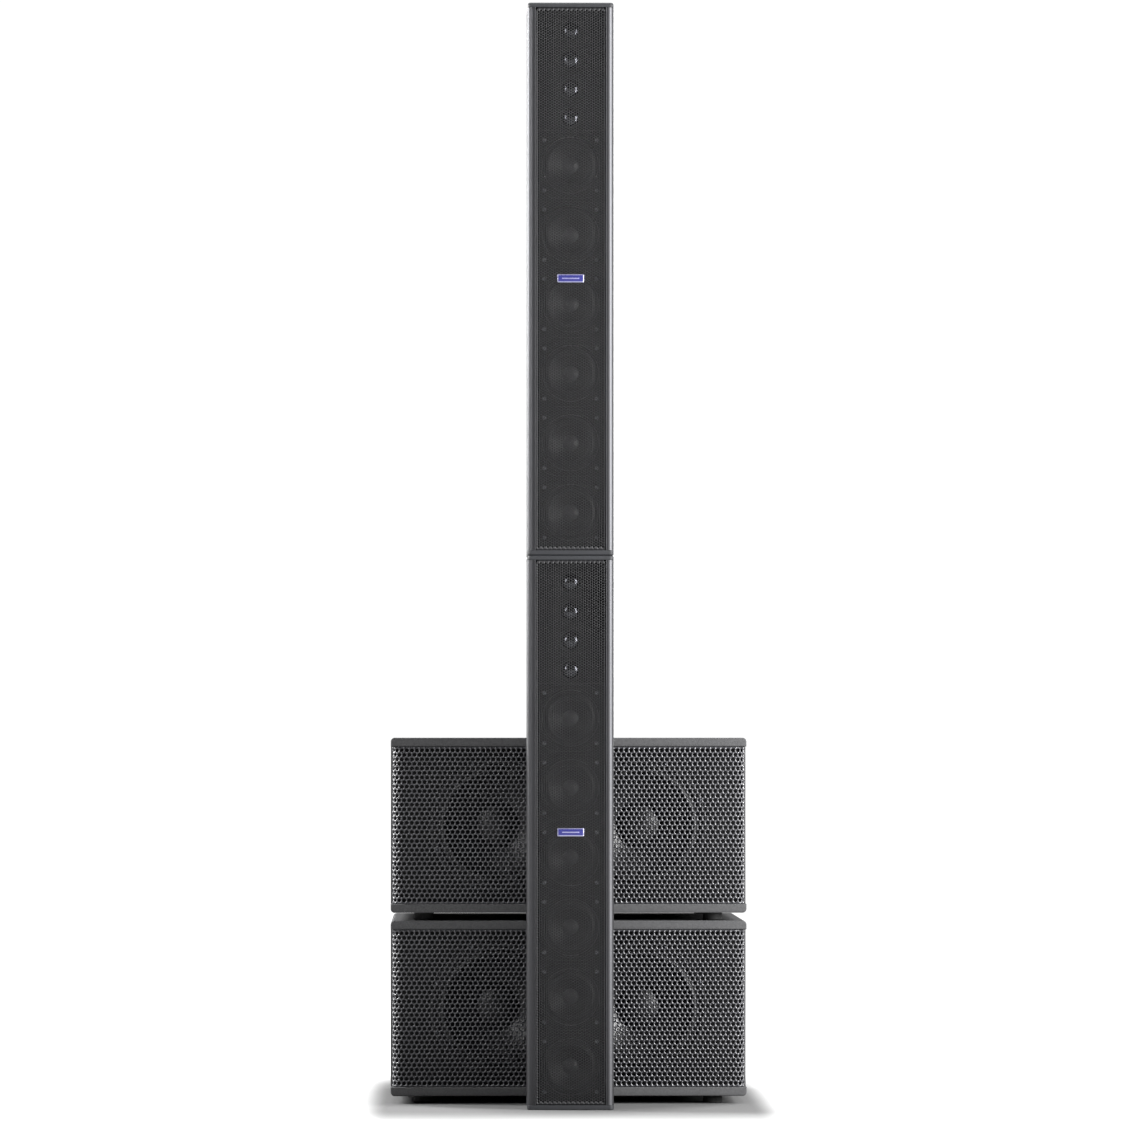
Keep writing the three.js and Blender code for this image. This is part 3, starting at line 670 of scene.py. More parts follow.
def add_floor():
    """A wide grey paper floor that the lights bring to white. Its emission is painted light that lifts it
    further away from the object, and so leaves a painted shadow round the object's footprint.

    The emission grows with the distance from the footprint, |p| less half its size, from nothing
    3 cm out to full half a metre out; a distance to the side counts eight times, which keeps the
    painted shadow narrow at the sides.
    """
    material, tree, place = start_material("studio_paper")
    folded = add_node(tree, "ShaderNodeVectorMath", {0: place}, operation="ABSOLUTE")
    beyond = add_node(tree, "ShaderNodeVectorMath", {
        0: folded.outputs["Vector"], 1: tuple(cad_box[1])}, operation="SUBTRACT")
    outside = add_node(tree, "ShaderNodeVectorMath", {
        0: beyond.outputs["Vector"], 1: (0, 0, 0)}, operation="MAXIMUM")
    weighed = add_node(tree, "ShaderNodeVectorMath", {
        0: outside.outputs["Vector"], 1: (PAINTED_SHADOW_SIDEWAYS, 1, 0)}, operation="MULTIPLY")
    reach = add_node(tree, "ShaderNodeVectorMath", {0: weighed.outputs["Vector"]}, operation="LENGTH")
    # painted light: emission that rises away from the object and leaves a painted shadow beside it
    lift_beyond_painted_shadow = add_node(tree, "ShaderNodeMapRange", {
        "Value": reach.outputs["Value"], "From Min": PAINTED_SHADOW_CORE, "From Max": PAINTED_SHADOW_EDGE,
        "To Min": 0.0, "To Max": 1.1}, interpolation_type="SMOOTHSTEP")
    end_material(tree, {
        "Base Color": mottle(tree, place, 900, "#434343", "#474747"),
        "Roughness": 0.85,
        "Emission Color": linear("#ffffff"),
        "Emission Strength": lift_beyond_painted_shadow.outputs["Result"],
    })
    mesh = bpy.data.meshes.new("floor")
    around = [(x * FLOOR_HALF, y * FLOOR_HALF, 0) for x, y in ((-1, -1), (1, -1), (1, 1), (-1, 1))]
    mesh.from_pydata(around, [], [(0, 1, 2, 3)])
    mesh.materials.append(material)
    floor = bpy.data.objects.new("floor", mesh)
    bpy.context.scene.collection.objects.link(floor)


# ---------------------------------------------------------------- column loudspeakers

RAIL_WIDTH = 12.0
RAIL_DEPTH = 14.0
COLUMN_WALL = 3.0
COLUMN_BACK_CORNER = 8.0
COLUMN_FRONT_CORNER = 6.5


def rail_face(side, half, y0):
    """The front of one rail from its outer corner to its inner edge, for the left side (-1).

    A tight arc for the outer corner, a wide one whose normal turns from 62 degrees outwards to
    straight ahead, a fine groove, and a half-round bead beside the grille.
    """
    bead, groove, tight, lean = 0.9, 0.7, 2.0, 62.0
    inner = half - RAIL_WIDTH
    start = inner + 2 * bead + groove
    turn = math.radians(lean)
    wide = (half - tight - start + tight * math.sin(turn)) / math.sin(turn)
    corner = (half - tight, y0 + (wide - tight) * (1 - math.cos(turn)) + tight)
    outer = arc(corner, tight, 0, lean - 90, 6)
    shallow = arc((start, y0 + wide), wide, lean - 90, -90, 13)[1:]
    trench = np.array([(start - groove * 0.2, y0 + 0.8), (start - groove * 0.8, y0 + 0.8)])
    rod = arc((inner + bead, y0 + bead), bead, 0, -180, 7)
    return np.concatenate([outer, shallow, trench, rod]) * np.array([side, 1])


def column_section(half, y0, y1):
    """Closed outline of the aluminium profile, seen from above."""
    inner = half - COLUMN_WALL
    mouth = half - RAIL_WIDTH
    shelf = y0 + RAIL_DEPTH
    r = COLUMN_BACK_CORNER
    left, right = rail_face(-1, half, y0), rail_face(1, half, y0)
    back = np.concatenate([
        arc((half - r, y1 - r), r, 90, 0, 9)[::-1], arc((r - half, y1 - r), r, 90, 180, 9)])
    inside = np.array([
        (-mouth, shelf), (-inner, shelf), (-inner, y1 - COLUMN_WALL), (inner, y1 - COLUMN_WALL),
        (inner, shelf), (mouth, shelf),
    ])
    return np.concatenate([right[::-1], back, left, inside])


def column_profile(level):
    """Aluminium profile of one column, with its screwed end plates."""
    low, high = corners(f"{level}_column_cabinet")
    half = (high[0] - low[0]) / 2
    section = column_section(half, low[1], high[1])
    add_piece(f"{level}_column_profile", prism(section, low[2], high[2]), "extrusion",
              stands_for=[f"{level}_column_cabinet"], sharp=28)
    for end in ("top", "bottom"):
        end_plate(level, end)


def end_plate(level, end):
    """End plate: its outer rim is well rounded, and its corners follow the profile's."""
    node = f"{level}_column_{end}_cap"
    low, high = corners(node)
    half = (high - low) / 2
    centre = (high + low) / 2
    rims = (0.4, 3.6) if end == "top" else (1.6, 0.4)
    plan = (half[0], half[1], (COLUMN_FRONT_CORNER, COLUMN_BACK_CORNER))
    shape = slab(plan, low[2], high[2], rims, "z", 8, 6)
    add_piece(f"{level}_column_{end}_plate", moved(shape, 0, centre[1], 0), "end_plate",
              stands_for=[node])


GRILLE_SHEET = 1.2
FINE_PITCH = 4.0
FINE_HOLE = 1.88
FINE_MARGIN = 1.3


def column_grille(level):
    """Fine grille of one column: six-sided holes, 4 mm apart, in a flat sheet."""
    low, high = corners(f"{level}_column_grille")
    width, height = high[0] - low[0], high[2] - low[2]
    step = FINE_PITCH * math.sqrt(0.75)
    flat, triangles = perforated(width, height, step, FINE_PITCH, FINE_HOLE, 1, FINE_MARGIN)
    flat = flat + np.array([0, (low[2] + high[2]) / 2])
    shape = thickened(laid(flat, low[1], "y"), triangles, laid(flat, low[1] + GRILLE_SHEET, "y"))
    add_piece(f"{level}_column_fine_grille", shape, "column_grille",
              stands_for=[f"{level}_column_grille"], sharp=180)
    column_badge(level, low[1], (low[2] + high[2]) / 2)


def column_badge(level, front, height):
    """A plain oblong badge: a satin rim round an enamelled field with one raised bar."""
    plates = (
        ("rim", (20, 6, 1.0), -1.3, -0.05, 0.4, "badge"),
        ("field", (18.6, 4.6, 0.6), -1.5, -0.9, 0.1, "badge_field"),
        ("bar", (13, 0.9, 0.6), -1.8, -1.3, 0.2, "badge"),
    )
    for part, plan, near, far, edge, material in plates:
        shape = slab(plan, front + near, front + far, edge)
        add_piece(f"{level}_column_badge_{part}", moved(shape, 0, 0, height), material)


def small_frame(front, height):
    """Pressed frame of a 4-inch woofer: round inside, square with bulging sides outside.

    Outside, |x|^n + |z|^n = a^n with n = 3.5, so the radius at angle t is
    a / (|cos t|^n + |sin t|^n)^(1/n). Its rings run from the bore over the face to the rim.
    """
    angle = np.linspace(0, 2 * np.pi, 72, endpoint=False)
    power, reach = 3.5, 50.5
    outside = reach / (np.abs(np.cos(angle)) ** power + np.abs(np.sin(angle)) ** power) ** (1 / power)
    bore = 43.0
    rings = [(bore, 0.0, 0.0), (bore, 0.0, -3.0), (bore + 0.6, 0.0, -3.6), (bore + 2.2, 0.0, -3.6),
             (bore + 2.8, 0.0, -2.6), (-1.2, 1.0, -2.2), (-0.3, 1.0, -1.7), (0.0, 1.0, -1.0),
             (0.0, 1.0, 0.0)]
    outlines = []
    for radius, outer_share, depth in rings:
        r = radius + outside * outer_share
        ring = np.stack([r * np.cos(angle), r * np.sin(angle) + height], 1)
        outlines.append((ring, front + depth))
    return looped(outlines, "y")


def screw_head(x, z, front, radius=3.4, rise=2.0):
    """Pan-head screw, facing the front, with a round socket in its face."""
    return turned([
        (0, front - rise * 0.45), (radius * 0.42, front - rise * 0.45), (radius * 0.46, front - rise),
        (radius * 0.7, front - rise * 0.92), (radius, front - rise * 0.45), (radius, front), (0, front),
    ], 12, x, z)


def roll(inner, outer, crest, seat, thickness, steps, lip=()):
    """Half-round surround as a closed profile from its inner to its outer edge.

    At share s of the way across, the front lies crest sin(pi s) forward of the seat. lip may
    hold one radius, to which a flat lip runs on beyond the outer edge.
    """
    share = np.linspace(0, 1, steps)
    radius = inner + (outer - inner) * share
    front = np.stack([radius, seat - crest * np.sin(np.pi * share)], 1)
    back = front[::-1] + np.array([0, thickness])
    flat = np.array([(radius, depth) for radius in lip for depth in (seat, seat + thickness)])
    return np.concatenate([front, flat.reshape(-1, 2), back])


def small_driver(level, number, baffle_front):
    """Frame, surround, cone and dust cap of one 4-inch woofer; returns its screws."""
    node = f"{level}_column_cone_{number}"
    height = middle(node)[2]
    seat = baffle_front - 0.6
    name = f"{level}_column_woofer_{number}"
    add_piece(f"{name}_frame", small_frame(baffle_front, height), "small_basket_painted_shade")
    edge = roll(27.5, 39.5, 4.4, seat, 0.9, 9, (42.0,))
    ring = turned(edge, 56, 0, height, closed=True)
    add_piece(f"{name}_surround", ring, "small_surround", node)
    slope = [(10.5, 11.6), (16, 7.6), (22, 3.4), (26.6, 0.5), (28.2, -0.1),
             (28.2, 0.8), (26.6, 1.5), (22, 4.4), (16, 8.6), (10.5, 12.6)]
    cone = turned([(radius, seat + depth) for radius, depth in slope], 56, 0, height, closed=True)
    add_piece(f"{name}_cone", cone, "small_cone_painted_shade", node, [node])
    cap = dome_profile(12.0, 4.2, seat + 10.2)
    add_piece(f"{name}_dust_cap", turned(cap, 40, 0, height), "dust_cap", node)
    return [screw_head(x, height + z, baffle_front - 1.9) for x in (-39.5, 39.5) for z in (-38, 38)]


def dome_profile(radius, rise, seat, thickness=0.8, steps=8):
    """Profile of a shallow dome from its middle to its rim and back under it.

    The dome is part of a sphere of radius (radius^2 + rise^2) / (2 rise).
    """
    sphere = (radius ** 2 + rise ** 2) / (2 * rise)
    r = np.linspace(0, radius, steps)
    front = np.stack([r, seat + sphere - rise - np.sqrt(sphere ** 2 - r ** 2)], 1)
    return np.concatenate([front, front[::-1] + np.array([0, thickness])])


HORN_PITCH = 44.0
HORN_TOP = 41.0            # highest unit below the column's top
SPLIT_HEIGHT = 52.5        # from the highest woofer up to the waveguide
SMALL_HOLE = 43.2
SMALL_BOARD = 8.0
GRILLE_SEAT = 0.3          # between the rails' back and the baffle


def horn_heights(level):
    """Heights of the four high-frequency units, from the highest down."""
    top = corners(f"{level}_column_top_cap")[1][2]
    return [top - HORN_TOP - i * HORN_PITCH for i in range(4)]


def horn_plate(level, half_width, low, high, front):
    """Moulded waveguide: a tall hollow with a round throat for each high-frequency unit.

    Depth is a channel, D (1 - (x / w)^2)^2 within w of the middle, times a swell that fades to
    nothing halfway between two units, plus a funnel of depth F (1 - (r / R)^2) inside R.
    """
    x = np.linspace(-half_width, half_width, 90)
    z = np.linspace(low, high, 150)
    across, up = np.meshgrid(x, z, indexing="ij")
    heights = np.array(horn_heights(level))
    nearest = np.abs(up[..., None] - heights).min(-1)
    channel = 5.0 * np.clip(1 - (across / 26.5) ** 2, 0, 1) ** 1.2
    inside = np.clip(((HORN_PITCH * 2) - np.abs(up - heights.mean())) / 4, 0, 1)
    ridge = 0.45 + 0.55 * np.cos(np.pi * np.clip(nearest / HORN_PITCH, 0, 0.5)) ** 0.7
    funnel = 6.0 * np.clip(1 - (across ** 2 + nearest ** 2) / 15.5 ** 2, 0, 1) ** 0.5
    depth = front + (channel * ridge + funnel) * inside
    face = np.stack([across, depth, up], -1)
    back = np.stack([across, np.full_like(across, front + 16), up], -1)
    points, triangles = grid(face)
    return thickened(points, triangles, back.reshape(-1, 3))


def high_frequency_unit(level, number, height, front):
    """Metal dome in a soft ring at the bottom of its throat."""
    name = f"{level}_column_tweeter_{number}"
    dome = dome_profile(12.7, 5.0, front + 5.0, 0.4, 12)
    add_piece(f"{name}_dome", turned(dome, 40, 0, height), "dome")
    ring = roll(12.8, 15.4, 1.2, front + 10.2, 0.5, 7)
    add_piece(f"{name}_ring", turned(ring, 40, 0, height, closed=True), "small_surround")


def column_front(level):
    """Everything behind one column's grille."""
    node = f"{level}_column_baffle"
    low, high = corners(node)
    front = corners(f"{level}_column_cabinet")[0][1] + RAIL_DEPTH + GRILLE_SEAT
    woofers = sorted(middle(f"{level}_column_cone_{i}")[2] for i in range(1, 7))
    split = woofers[-1] + SPLIT_HEIGHT
    board = round_holes(high[0], low[2], split, woofers, SMALL_HOLE, front, front + SMALL_BOARD)
    add_piece(f"{level}_column_woofer_board", board, "small_board_painted_shade", stands_for=[node])
    horns = horn_plate(level, high[0], split + 0.2, high[2], front)
    add_piece(f"{level}_column_waveguide", horns, "small_board_painted_shade")
    for number, height in enumerate(horn_heights(level), 1):
        high_frequency_unit(level, number, height, front)
    screws = []
    for number in range(1, 7):
        screws += small_driver(level, number, front)
    add_piece(f"{level}_column_woofer_screws", together(*screws), "screw")


# ---------------------------------------------------------------- rear panels

DIAL_RADIUS = 10.6
STROKE = 0.3               # half the width of a printed stroke
RULE = 0.25                # half the width of a printed rule


def rear_screw(x, z, face, radius=2.8):
    """Countersunk-looking screw on a face that looks to the back."""
    return turned([
        (0, face + 0.5), (radius * 0.4, face + 0.5), (radius * 0.45, face + 1.1),
        (radius * 0.8, face + 1.0), (radius, face + 0.3), (radius, face - 0.2), (0, face - 0.2),
    ], 14, x, z)


def ring_to_rear(x, z, face, inner, outer, rise, sides=36):
    """Raised ring with a rounded rim on a face that looks to the back."""
    return turned([
        (inner, face), (inner, face + rise), (inner + 0.4, face + rise + 0.3),
        (outer - 0.6, face + rise + 0.3), (outer, face + rise - 0.3), (outer, face),
    ], sides, x, z, closed=True)


def signal_socket(name, x, z, face, male):
    """Three-pole signal socket on its oblong flange; male has pins, female has a button and holes."""
    flange = slab((13, 15.5, 2.5), face + 0.05, face + 1.7, 0.5, corner_steps=5)
    body = ring_to_rear(x, z, face + 1.6, 9.6, 12.0, 1.4)
    floor = turned([(0, face + 1.2), (9.7, face + 1.2), (9.7, face + 1.9), (0, face + 1.9)], 32, x, z)
    shell = together(moved(flange, x, 0, z), body, floor)
    add_piece(f"{name}_socket", shell, "socket")
    contacts = []
    for degrees in (30, 150, 270):
        px, pz = x + 5.2 * math.cos(math.radians(degrees)), z + 5.2 * math.sin(math.radians(degrees))
        tip = face + (4.0 if male else 2.1)
        profile = [(0, tip), (0.9, tip - 0.3), (1.2, tip - 0.8), (1.2, face + 1.8), (0, face + 1.8)]
        contacts.append(turned(profile, 14, px, pz))
    add_piece(f"{name}_contacts", together(*contacts), "contact")
    if not male:
        latch = slab((4.2, 1.8, 0.8), face + 1.6, face + 2.9, 0.4)
        add_piece(f"{name}_latch", moved(latch, x, 0, z + 13.2), "zinc")
    corners_of = [rear_screw(x + a * 9.5, z + b * 12.0, face + 1.6, 1.9) for a, b in ((-1, 1), (1, -1))]
    add_piece(f"{name}_screws", together(*corners_of), "screw")


def mains_inlet(name, x, z, face):
    """Three-blade mains inlet: a raised oblong collar round a well, and flat blades."""
    collar_outer = rounded_rectangle(15.5, 11.5, 2.0, 0, 5)
    collar_inner = rounded_rectangle(12.5, 8.5, 3.0, 0, 5)
    collar = looped((
        (collar_inner, face + 0.4), (collar_inner, face + 3.0), (collar_outer, face + 3.0),
        (collar_outer, face + 0.05)), "y")
    well = slab((13, 9, 1.0), face + 0.05, face + 0.8, 0.1, corner_steps=5)
    add_piece(f"{name}_inlet", moved(together(collar, well), x, 0, z), "socket")
    blades = [box((x + a - 0.9, face + 0.7, z + b - 2.4), (x + a + 0.9, face + 2.7, z + b + 2.4), 0.2)
              for a, b in ((-7, -1.5), (0, 2.0), (7, -1.5))]
    add_piece(f"{name}_blades", together(*blades), "contact")


def lamp(name, x, z, face, material):
    """Domed indicator lamp in a thin bezel."""
    bezel = ring_to_rear(x, z, face, 1.7, 2.7, 0.5, 20)
    add_piece(f"{name}_bezel", bezel, "socket")
    lens = [(0, face + 1.6), (0.9, face + 1.4), (1.5, face + 0.8), (1.6, face + 0.1), (0, face + 0.1)]
    add_piece(f"{name}_lens", turned(lens, 20, x, z), material)


def dial_marks(name, x, z, face):
    """Eleven printed strokes round a knob, over 300 degrees, with longer ones at the ends."""
    strokes = []
    for step in range(11):
        angle = math.radians(-60 + step * 30)
        length = 3.4 if step in (0, 5, 10) else 2.2
        across, up = -math.cos(angle), math.sin(angle)
        end = DIAL_RADIUS + length
        outline = np.array([(DIAL_RADIUS, -STROKE), (end, -STROKE), (end, STROKE), (DIAL_RADIUS, STROKE)])
        turned_outline = np.stack([
            outline[:, 0] * across - outline[:, 1] * up, outline[:, 0] * up + outline[:, 1] * across], 1)
        strokes.append(prism(turned_outline, face + 0.02, face + 0.12, "y"))
    add_piece(name, moved(together(*strokes), x, 0, z), "print")


def control_knob(node, face):
    """Level knob: a skirt, a fluted grip and a printed pointer, with its marks on the panel.

    At angle t the grip's radius is R + a cos(18 t), which gives eighteen flutes.
    """
    low, high = corners(node)
    centre = (low + high) / 2
    radius = (high[0] - low[0]) / 2
    skirt = low[1] + 7.0
    angle = np.linspace(0, 2 * np.pi, 144, endpoint=False)
    rings = [(0.0, 0.0, -7.0), (3.0, 0.0, -7.0), (3.0, 0.0, 0.0), (radius, 0.0, 0.0), (radius, 0.0, 1.4),
             (radius - 0.6, 0.0, 2.0), (radius - 1.6, 0.35, 2.4), (radius - 2.0, 0.35, 10.4),
             (radius - 2.9, 0.1, 11.6), (radius - 4.0, 0.0, 11.9), (0.0, 0.0, 11.7)]
    points = []
    for base, flute, rise in rings:
        r = base + flute * np.cos(18 * angle)
        ring = np.stack([r * np.cos(angle), r * np.sin(angle)], 1)
        points.append(laid(ring, skirt + rise, "y"))
    shape = moved(grid(np.stack(points), along=True), centre[0], 0, centre[2])
    body = frame["nodes"][node]["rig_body"]
    add_piece(f"{node}_grip", shape, "knob", body, [node])
    pointer = box((centre[0] - 0.6, skirt + 10.2, centre[2] + 1.5),
                  (centre[0] + 0.6, skirt + 12.4, centre[2] + 7.0), 0.3)
    add_piece(f"{node}_pointer", pointer, "print", body)
    dial_marks(f"{node}_scale", centre[0], centre[2], face)


def panel_screws_and_rules(name, face, screws, rules):
    """Screws at places x, z of a rear panel, and printed rules, given as left, right, height."""
    heads = [rear_screw(x, z, face) for x, z in screws]
    add_piece(f"{name}_screws", together(*heads), "screw")
    lines = [box((left, face + 0.02, z - RULE), (right, face + 0.12, z + RULE), 0.03)
             for left, right, z in rules]
    add_piece(f"{name}_rules", together(*lines), "print")


def column_rear(level):
    """Amplifier panel of one column with its controls."""
    node = f"{level}_column_amp_panel"
    low, high = corners(node)
    face = high[1]
    top, bottom = high[2], low[2]
    finish_node(node, "panel")
    control_knob(f"{level}_column_level_knob", face)
    for x, material in ((-30, "green_lamp"), (-38, "amber_lamp")):
        lamp(f"{level}_column_lamp_{-x}", x, top - 24, face, material)
    signal_socket(f"{level}_column_input", -22, top - 70, face, False)
    signal_socket(f"{level}_column_link", 22, top - 70, face, True)
    mains_inlet(f"{level}_column_mains", -22, bottom + 45, face)
    mains_inlet(f"{level}_column_mains_link", 22, bottom + 45, face)
    screws = [(x, z) for x in (-49, 49) for z in (bottom + 6, (top + bottom) / 2, top - 6)]
    rules = [(-44, 44, z) for z in (top - 46, top - 96, bottom + 72)]
    panel_screws_and_rules(f"{level}_column_panel", face, screws, rules)


# ---------------------------------------------------------------- subwoofers

SUB_CORNER = 6.0
SUB_EASE = 1.6
SUB_BOARD = 13.5
BAFFLE_BOARD = 15.0
BAFFLE_SETBACK = 30.0      # baffle's face behind the boards' front edges
SIDE_SETBACK = 36.5        # side boards' front edge behind the same
FINS_DEPTH = 70.0          # amplifier inside the box, from its back end to the panel
PANEL_SHEET = 4.0
WOOFER_HOLE = 96.0
PORT_RADIUS = 32.0
PORT_SPACING = 400.0
HANDLE_CUT = (75.3, 40.3)
HANDLE_STEP = (85.3, 50.3)
STEP_DEPTH = 2.3
BAFFLE_GAP = 10.0          # baffle's ends inside the boards' outer faces
CUT_CORNER = 0.2           # corner radius of a sawn board
HANDLE_CORNER = 8.0
PANEL_OVERLAP = 14.0       # rear panel beyond its opening, all round
OPENING_FRAME = 12.0       # wood beside that opening, up to the ports' cells
PORT_CLEARANCE = 1.0


def lip_board(half, low, high, y0, y1, upper):
    """Top or bottom board: its two outer long edges are round and its front edge is eased."""
    radii = (0.15, SUB_CORNER) if upper else (SUB_CORNER, 0.15)
    shape = slab((half, (high - low) / 2, radii), y0, y1, SUB_EASE, "y", 8, 5)
    return moved(shape, 0, 0, (low + high) / 2)


def matched(half_width, half_height, radius, centre=(0.0, 0.0)):
    """Rounded rectangle outline moved to a centre; any two of them match, point for point."""
    return rounded_rectangle(half_width, half_height, radius) + np.array(centre)


def side_board(sign, half, y0, y1, z0, z1, handle):
    """Side board with the handle's opening through it and a step round it for the flange."""
    centre = np.array([(y0 + y1) / 2, (z0 + z1) / 2])
    outline = matched((y1 - y0) / 2, (z1 - z0) / 2, CUT_CORNER, centre)
    wide = matched(*HANDLE_STEP, HANDLE_CORNER, handle)
    narrow = matched(*HANDLE_CUT, HANDLE_CORNER, handle)
    step = half - STEP_DEPTH
    rings = ((outline, half - SUB_BOARD), (narrow, half - SUB_BOARD), (narrow, step), (wide, step),
             (wide, half), (outline, half))
    return looped([(flat, sign * x) for flat, x in rings], "x")


def sub_carcass(level):
    """Plywood box: top, bottom, sides and rear, painted as one, and the set-back baffle."""
    low, high = corners(f"{level}_sub_cabinet")
    half = high[0]
    z0, z1 = low[2] + SUB_BOARD, high[2] - SUB_BOARD
    baffle = low[1] + BAFFLE_SETBACK
    side_front = low[1] + SIDE_SETBACK
    handle = middle(f"{level}_sub_handle_right")[1:]
    shapes = [
        lip_board(half, low[2], z0, low[1], high[1], False),
        lip_board(half, z1, high[2], low[1], high[1], True),
        *[side_board(sign, half, side_front, high[1], z0, z1, handle) for _, sign in SIDES],
        sub_rear_board(level, half, z0, z1, high[1]),
    ]
    add_piece(f"{level}_sub_carcass", together(*shapes), "paint",
              stands_for=[f"{level}_sub_cabinet"], sharp=30)
    board = sub_baffle(level, half, z0, z1, baffle)
    add_piece(f"{level}_sub_baffle", board, "baffle")


def sub_baffle(level, half, z0, z1, front):
    """Baffle with a round hole for each woofer, its ends short of the sides."""
    holes = [middle(f"{level}_sub_woofer_frame_{side}")[0] for side, _ in SIDES]
    reach = half - BAFFLE_GAP
    return lying_round_holes((z1 - z0) / 2, -reach, reach, holes, WOOFER_HOLE,
                             front, front + BAFFLE_BOARD, (z0 + z1) / 2)


def sub_rear_board(level, half, z0, z1, back):
    """Rear board between the sides: a panel opening in the middle and a port at each side."""
    panel_low, panel_high = corners(f"{level}_sub_amp_panel")
    window = np.array([panel_high[0], (panel_high[2] - panel_low[2]) / 2]) - PANEL_OVERLAP
    height = (panel_low[2] + panel_high[2]) / 2
    inner = half - SUB_BOARD
    split = window[0] + OPENING_FRAME
    inside = back - SUB_BOARD
    outline = matched(split, (z1 - z0) / 2, CUT_CORNER, (0, height))
    hole = matched(*window, 3, (0, height))
    shapes = [looped(((outline, inside), (hole, inside), (hole, back), (outline, back)), "y")]
    for _, sign in SIDES:
        ends = sorted((sign * split, sign * inner))
        port = sign * PORT_SPACING / 2
        shapes.append(lying_round_holes(
            (z1 - z0) / 2, *ends, [port], PORT_RADIUS + PORT_CLEARANCE, inside, back, height))
    return together(*shapes)


SUB_SHEET = 1.5
SUB_INSET = 3.0           # from the ends of the lips
SUB_BEND = 14.0
ROUND_PITCH = 7.8
ROUND_ROW = 6.95
ROUND_HOLE = 3.0
ROUND_MARGIN = 1.0


def bent_path(along, flat_half, bend, inset):
    """Plan of the subwoofer grille: flat front, quarter-circle bends, straight returns.

    along runs from the middle of the front. Past flat_half the sheet turns through an arc of
    radius bend, measured on its outer face, and then runs straight back. inset moves the
    point into the sheet. The answer is x and the distance back from the front.
    """
    sign, reach = np.sign(along), np.abs(along)
    turn = np.clip((reach - flat_half) / bend, 0, np.pi / 2)
    straight = np.clip(reach - flat_half - bend * np.pi / 2, 0, None)
    radius = bend - inset
    x = np.minimum(reach, flat_half) + radius * np.sin(turn)
    back = inset + radius * (1 - np.cos(turn)) + straight
    return sign * x, back


def sub_grille(level):
    """Round-hole grille wrapped round both upright edges of a subwoofer."""
    node = f"{level}_sub_grille"
    low, high = corners(node)
    half, depth, height = high[0] - SUB_INSET, high[1] - low[1], high[2] - low[2]
    flat_half = half - SUB_BEND
    length = 2 * (flat_half + SUB_BEND * np.pi / 2 + depth - SUB_BEND)
    flat, triangles = perforated(height, length, ROUND_ROW, ROUND_PITCH, ROUND_HOLE, 2, ROUND_MARGIN)
    up, along = flat[:, 0] + (low[2] + high[2]) / 2, flat[:, 1]
    faces = []
    for inset in (0.0, SUB_SHEET):
        x, back = bent_path(along, flat_half, SUB_BEND, inset)
        faces.append(np.stack([x, low[1] + back, up], 1))
    shape = thickened(faces[0], triangles, faces[1])
    add_piece(f"{level}_sub_round_hole_grille", shape, "sub_grille",
              stands_for=[node], sharp=180)


def big_driver(level, side):
    """Cast frame, surround, cone, dust cap and screws of one 8-inch woofer."""
    front = corners(f"{level}_sub_cabinet")[0][1] + BAFFLE_SETBACK
    frame_node = f"{level}_sub_woofer_frame_{side}"
    cone_node = f"{level}_sub_cone_{side}"
    x, _, z = middle(frame_node)
    name = f"{level}_sub_woofer_{side}"
    cast = [(0, 74), (50, 74), (90, 20), (93.4, 12), (93.4, -3.4), (94.2, -4.4), (96, -4.8), (97.2, -4.8),
            (98.4, -6.2), (101.5, -6.0), (103.2, -4.6), (103.5, -3.0), (103.5, -0.3), (95.4, -0.3),
            (95.4, 18), (66, 72), (64, 98), (62, 100), (0, 100)]
    shape = turned([(radius, front + depth) for radius, depth in cast], 72, x, z)
    add_piece(f"{name}_cast_frame", shape, "basket", stands_for=[frame_node])

    seat = front - 1.6
    edge = roll(77.5, 90.5, 6.0, seat, 1.2, 11, (92.2,))
    add_piece(f"{name}_surround", turned(edge, 84, x, z, closed=True), "surround", cone_node)

    share = np.linspace(0, 1, 12)
    slope = np.stack([26 + 53 * share, seat + 36 * (1 - share) ** 0.86], 1)
    slope = np.concatenate([slope, slope[::-1] + np.array([0, 1.4])])
    cone = turned(slope, 84, x, z, closed=True)
    add_piece(f"{name}_cone", cone, "cone", cone_node, [cone_node])
    cap = dome_profile(30.0, 9.0, seat + 25.0, 1.0, 12)
    add_piece(f"{name}_dust_cap", turned(cap, 64, x, z), "dust_cap", cone_node)

    screws = []
    for k in range(8):
        angle = math.radians(22.5 + 45 * k)
        across, up = 99.8 * math.cos(angle), 99.8 * math.sin(angle)
        screws.append(screw_head(x + across, z + up, front - 6.0, 3.0, 1.6))
    add_piece(f"{name}_screws", together(*screws), "screw")


def sub_foot(node):
    """Round rubber foot with a rolled lower edge."""
    low, high = corners(node)
    centre = (low + high) / 2
    radius = (high[1] - low[1]) / 2
    height = high[2] - low[2]
    profile = [(0, 0), (radius - 2.2, 0), (radius - 1.0, 0.4), (radius - 0.2, 1.3), (radius, 2.4),
               (radius - 1.2, height - 0.8), (radius - 1.9, height), (0, height)]
    points, triangles = turned(profile, 40)
    points = np.stack([points[:, 0] + centre[0], points[:, 2] + centre[1], points[:, 1] + low[2]], 1)
    add_piece(f"{node}_rubber", (points, triangles), "foot", stands_for=[node])


def on_side(shape, sign, centre):
    """A shape made for the right side about the origin, set on either side about a centre."""
    points, triangles = shape
    return points * np.array([sign, 1, 1]) + np.array([0, centre[1], centre[2]]), triangles


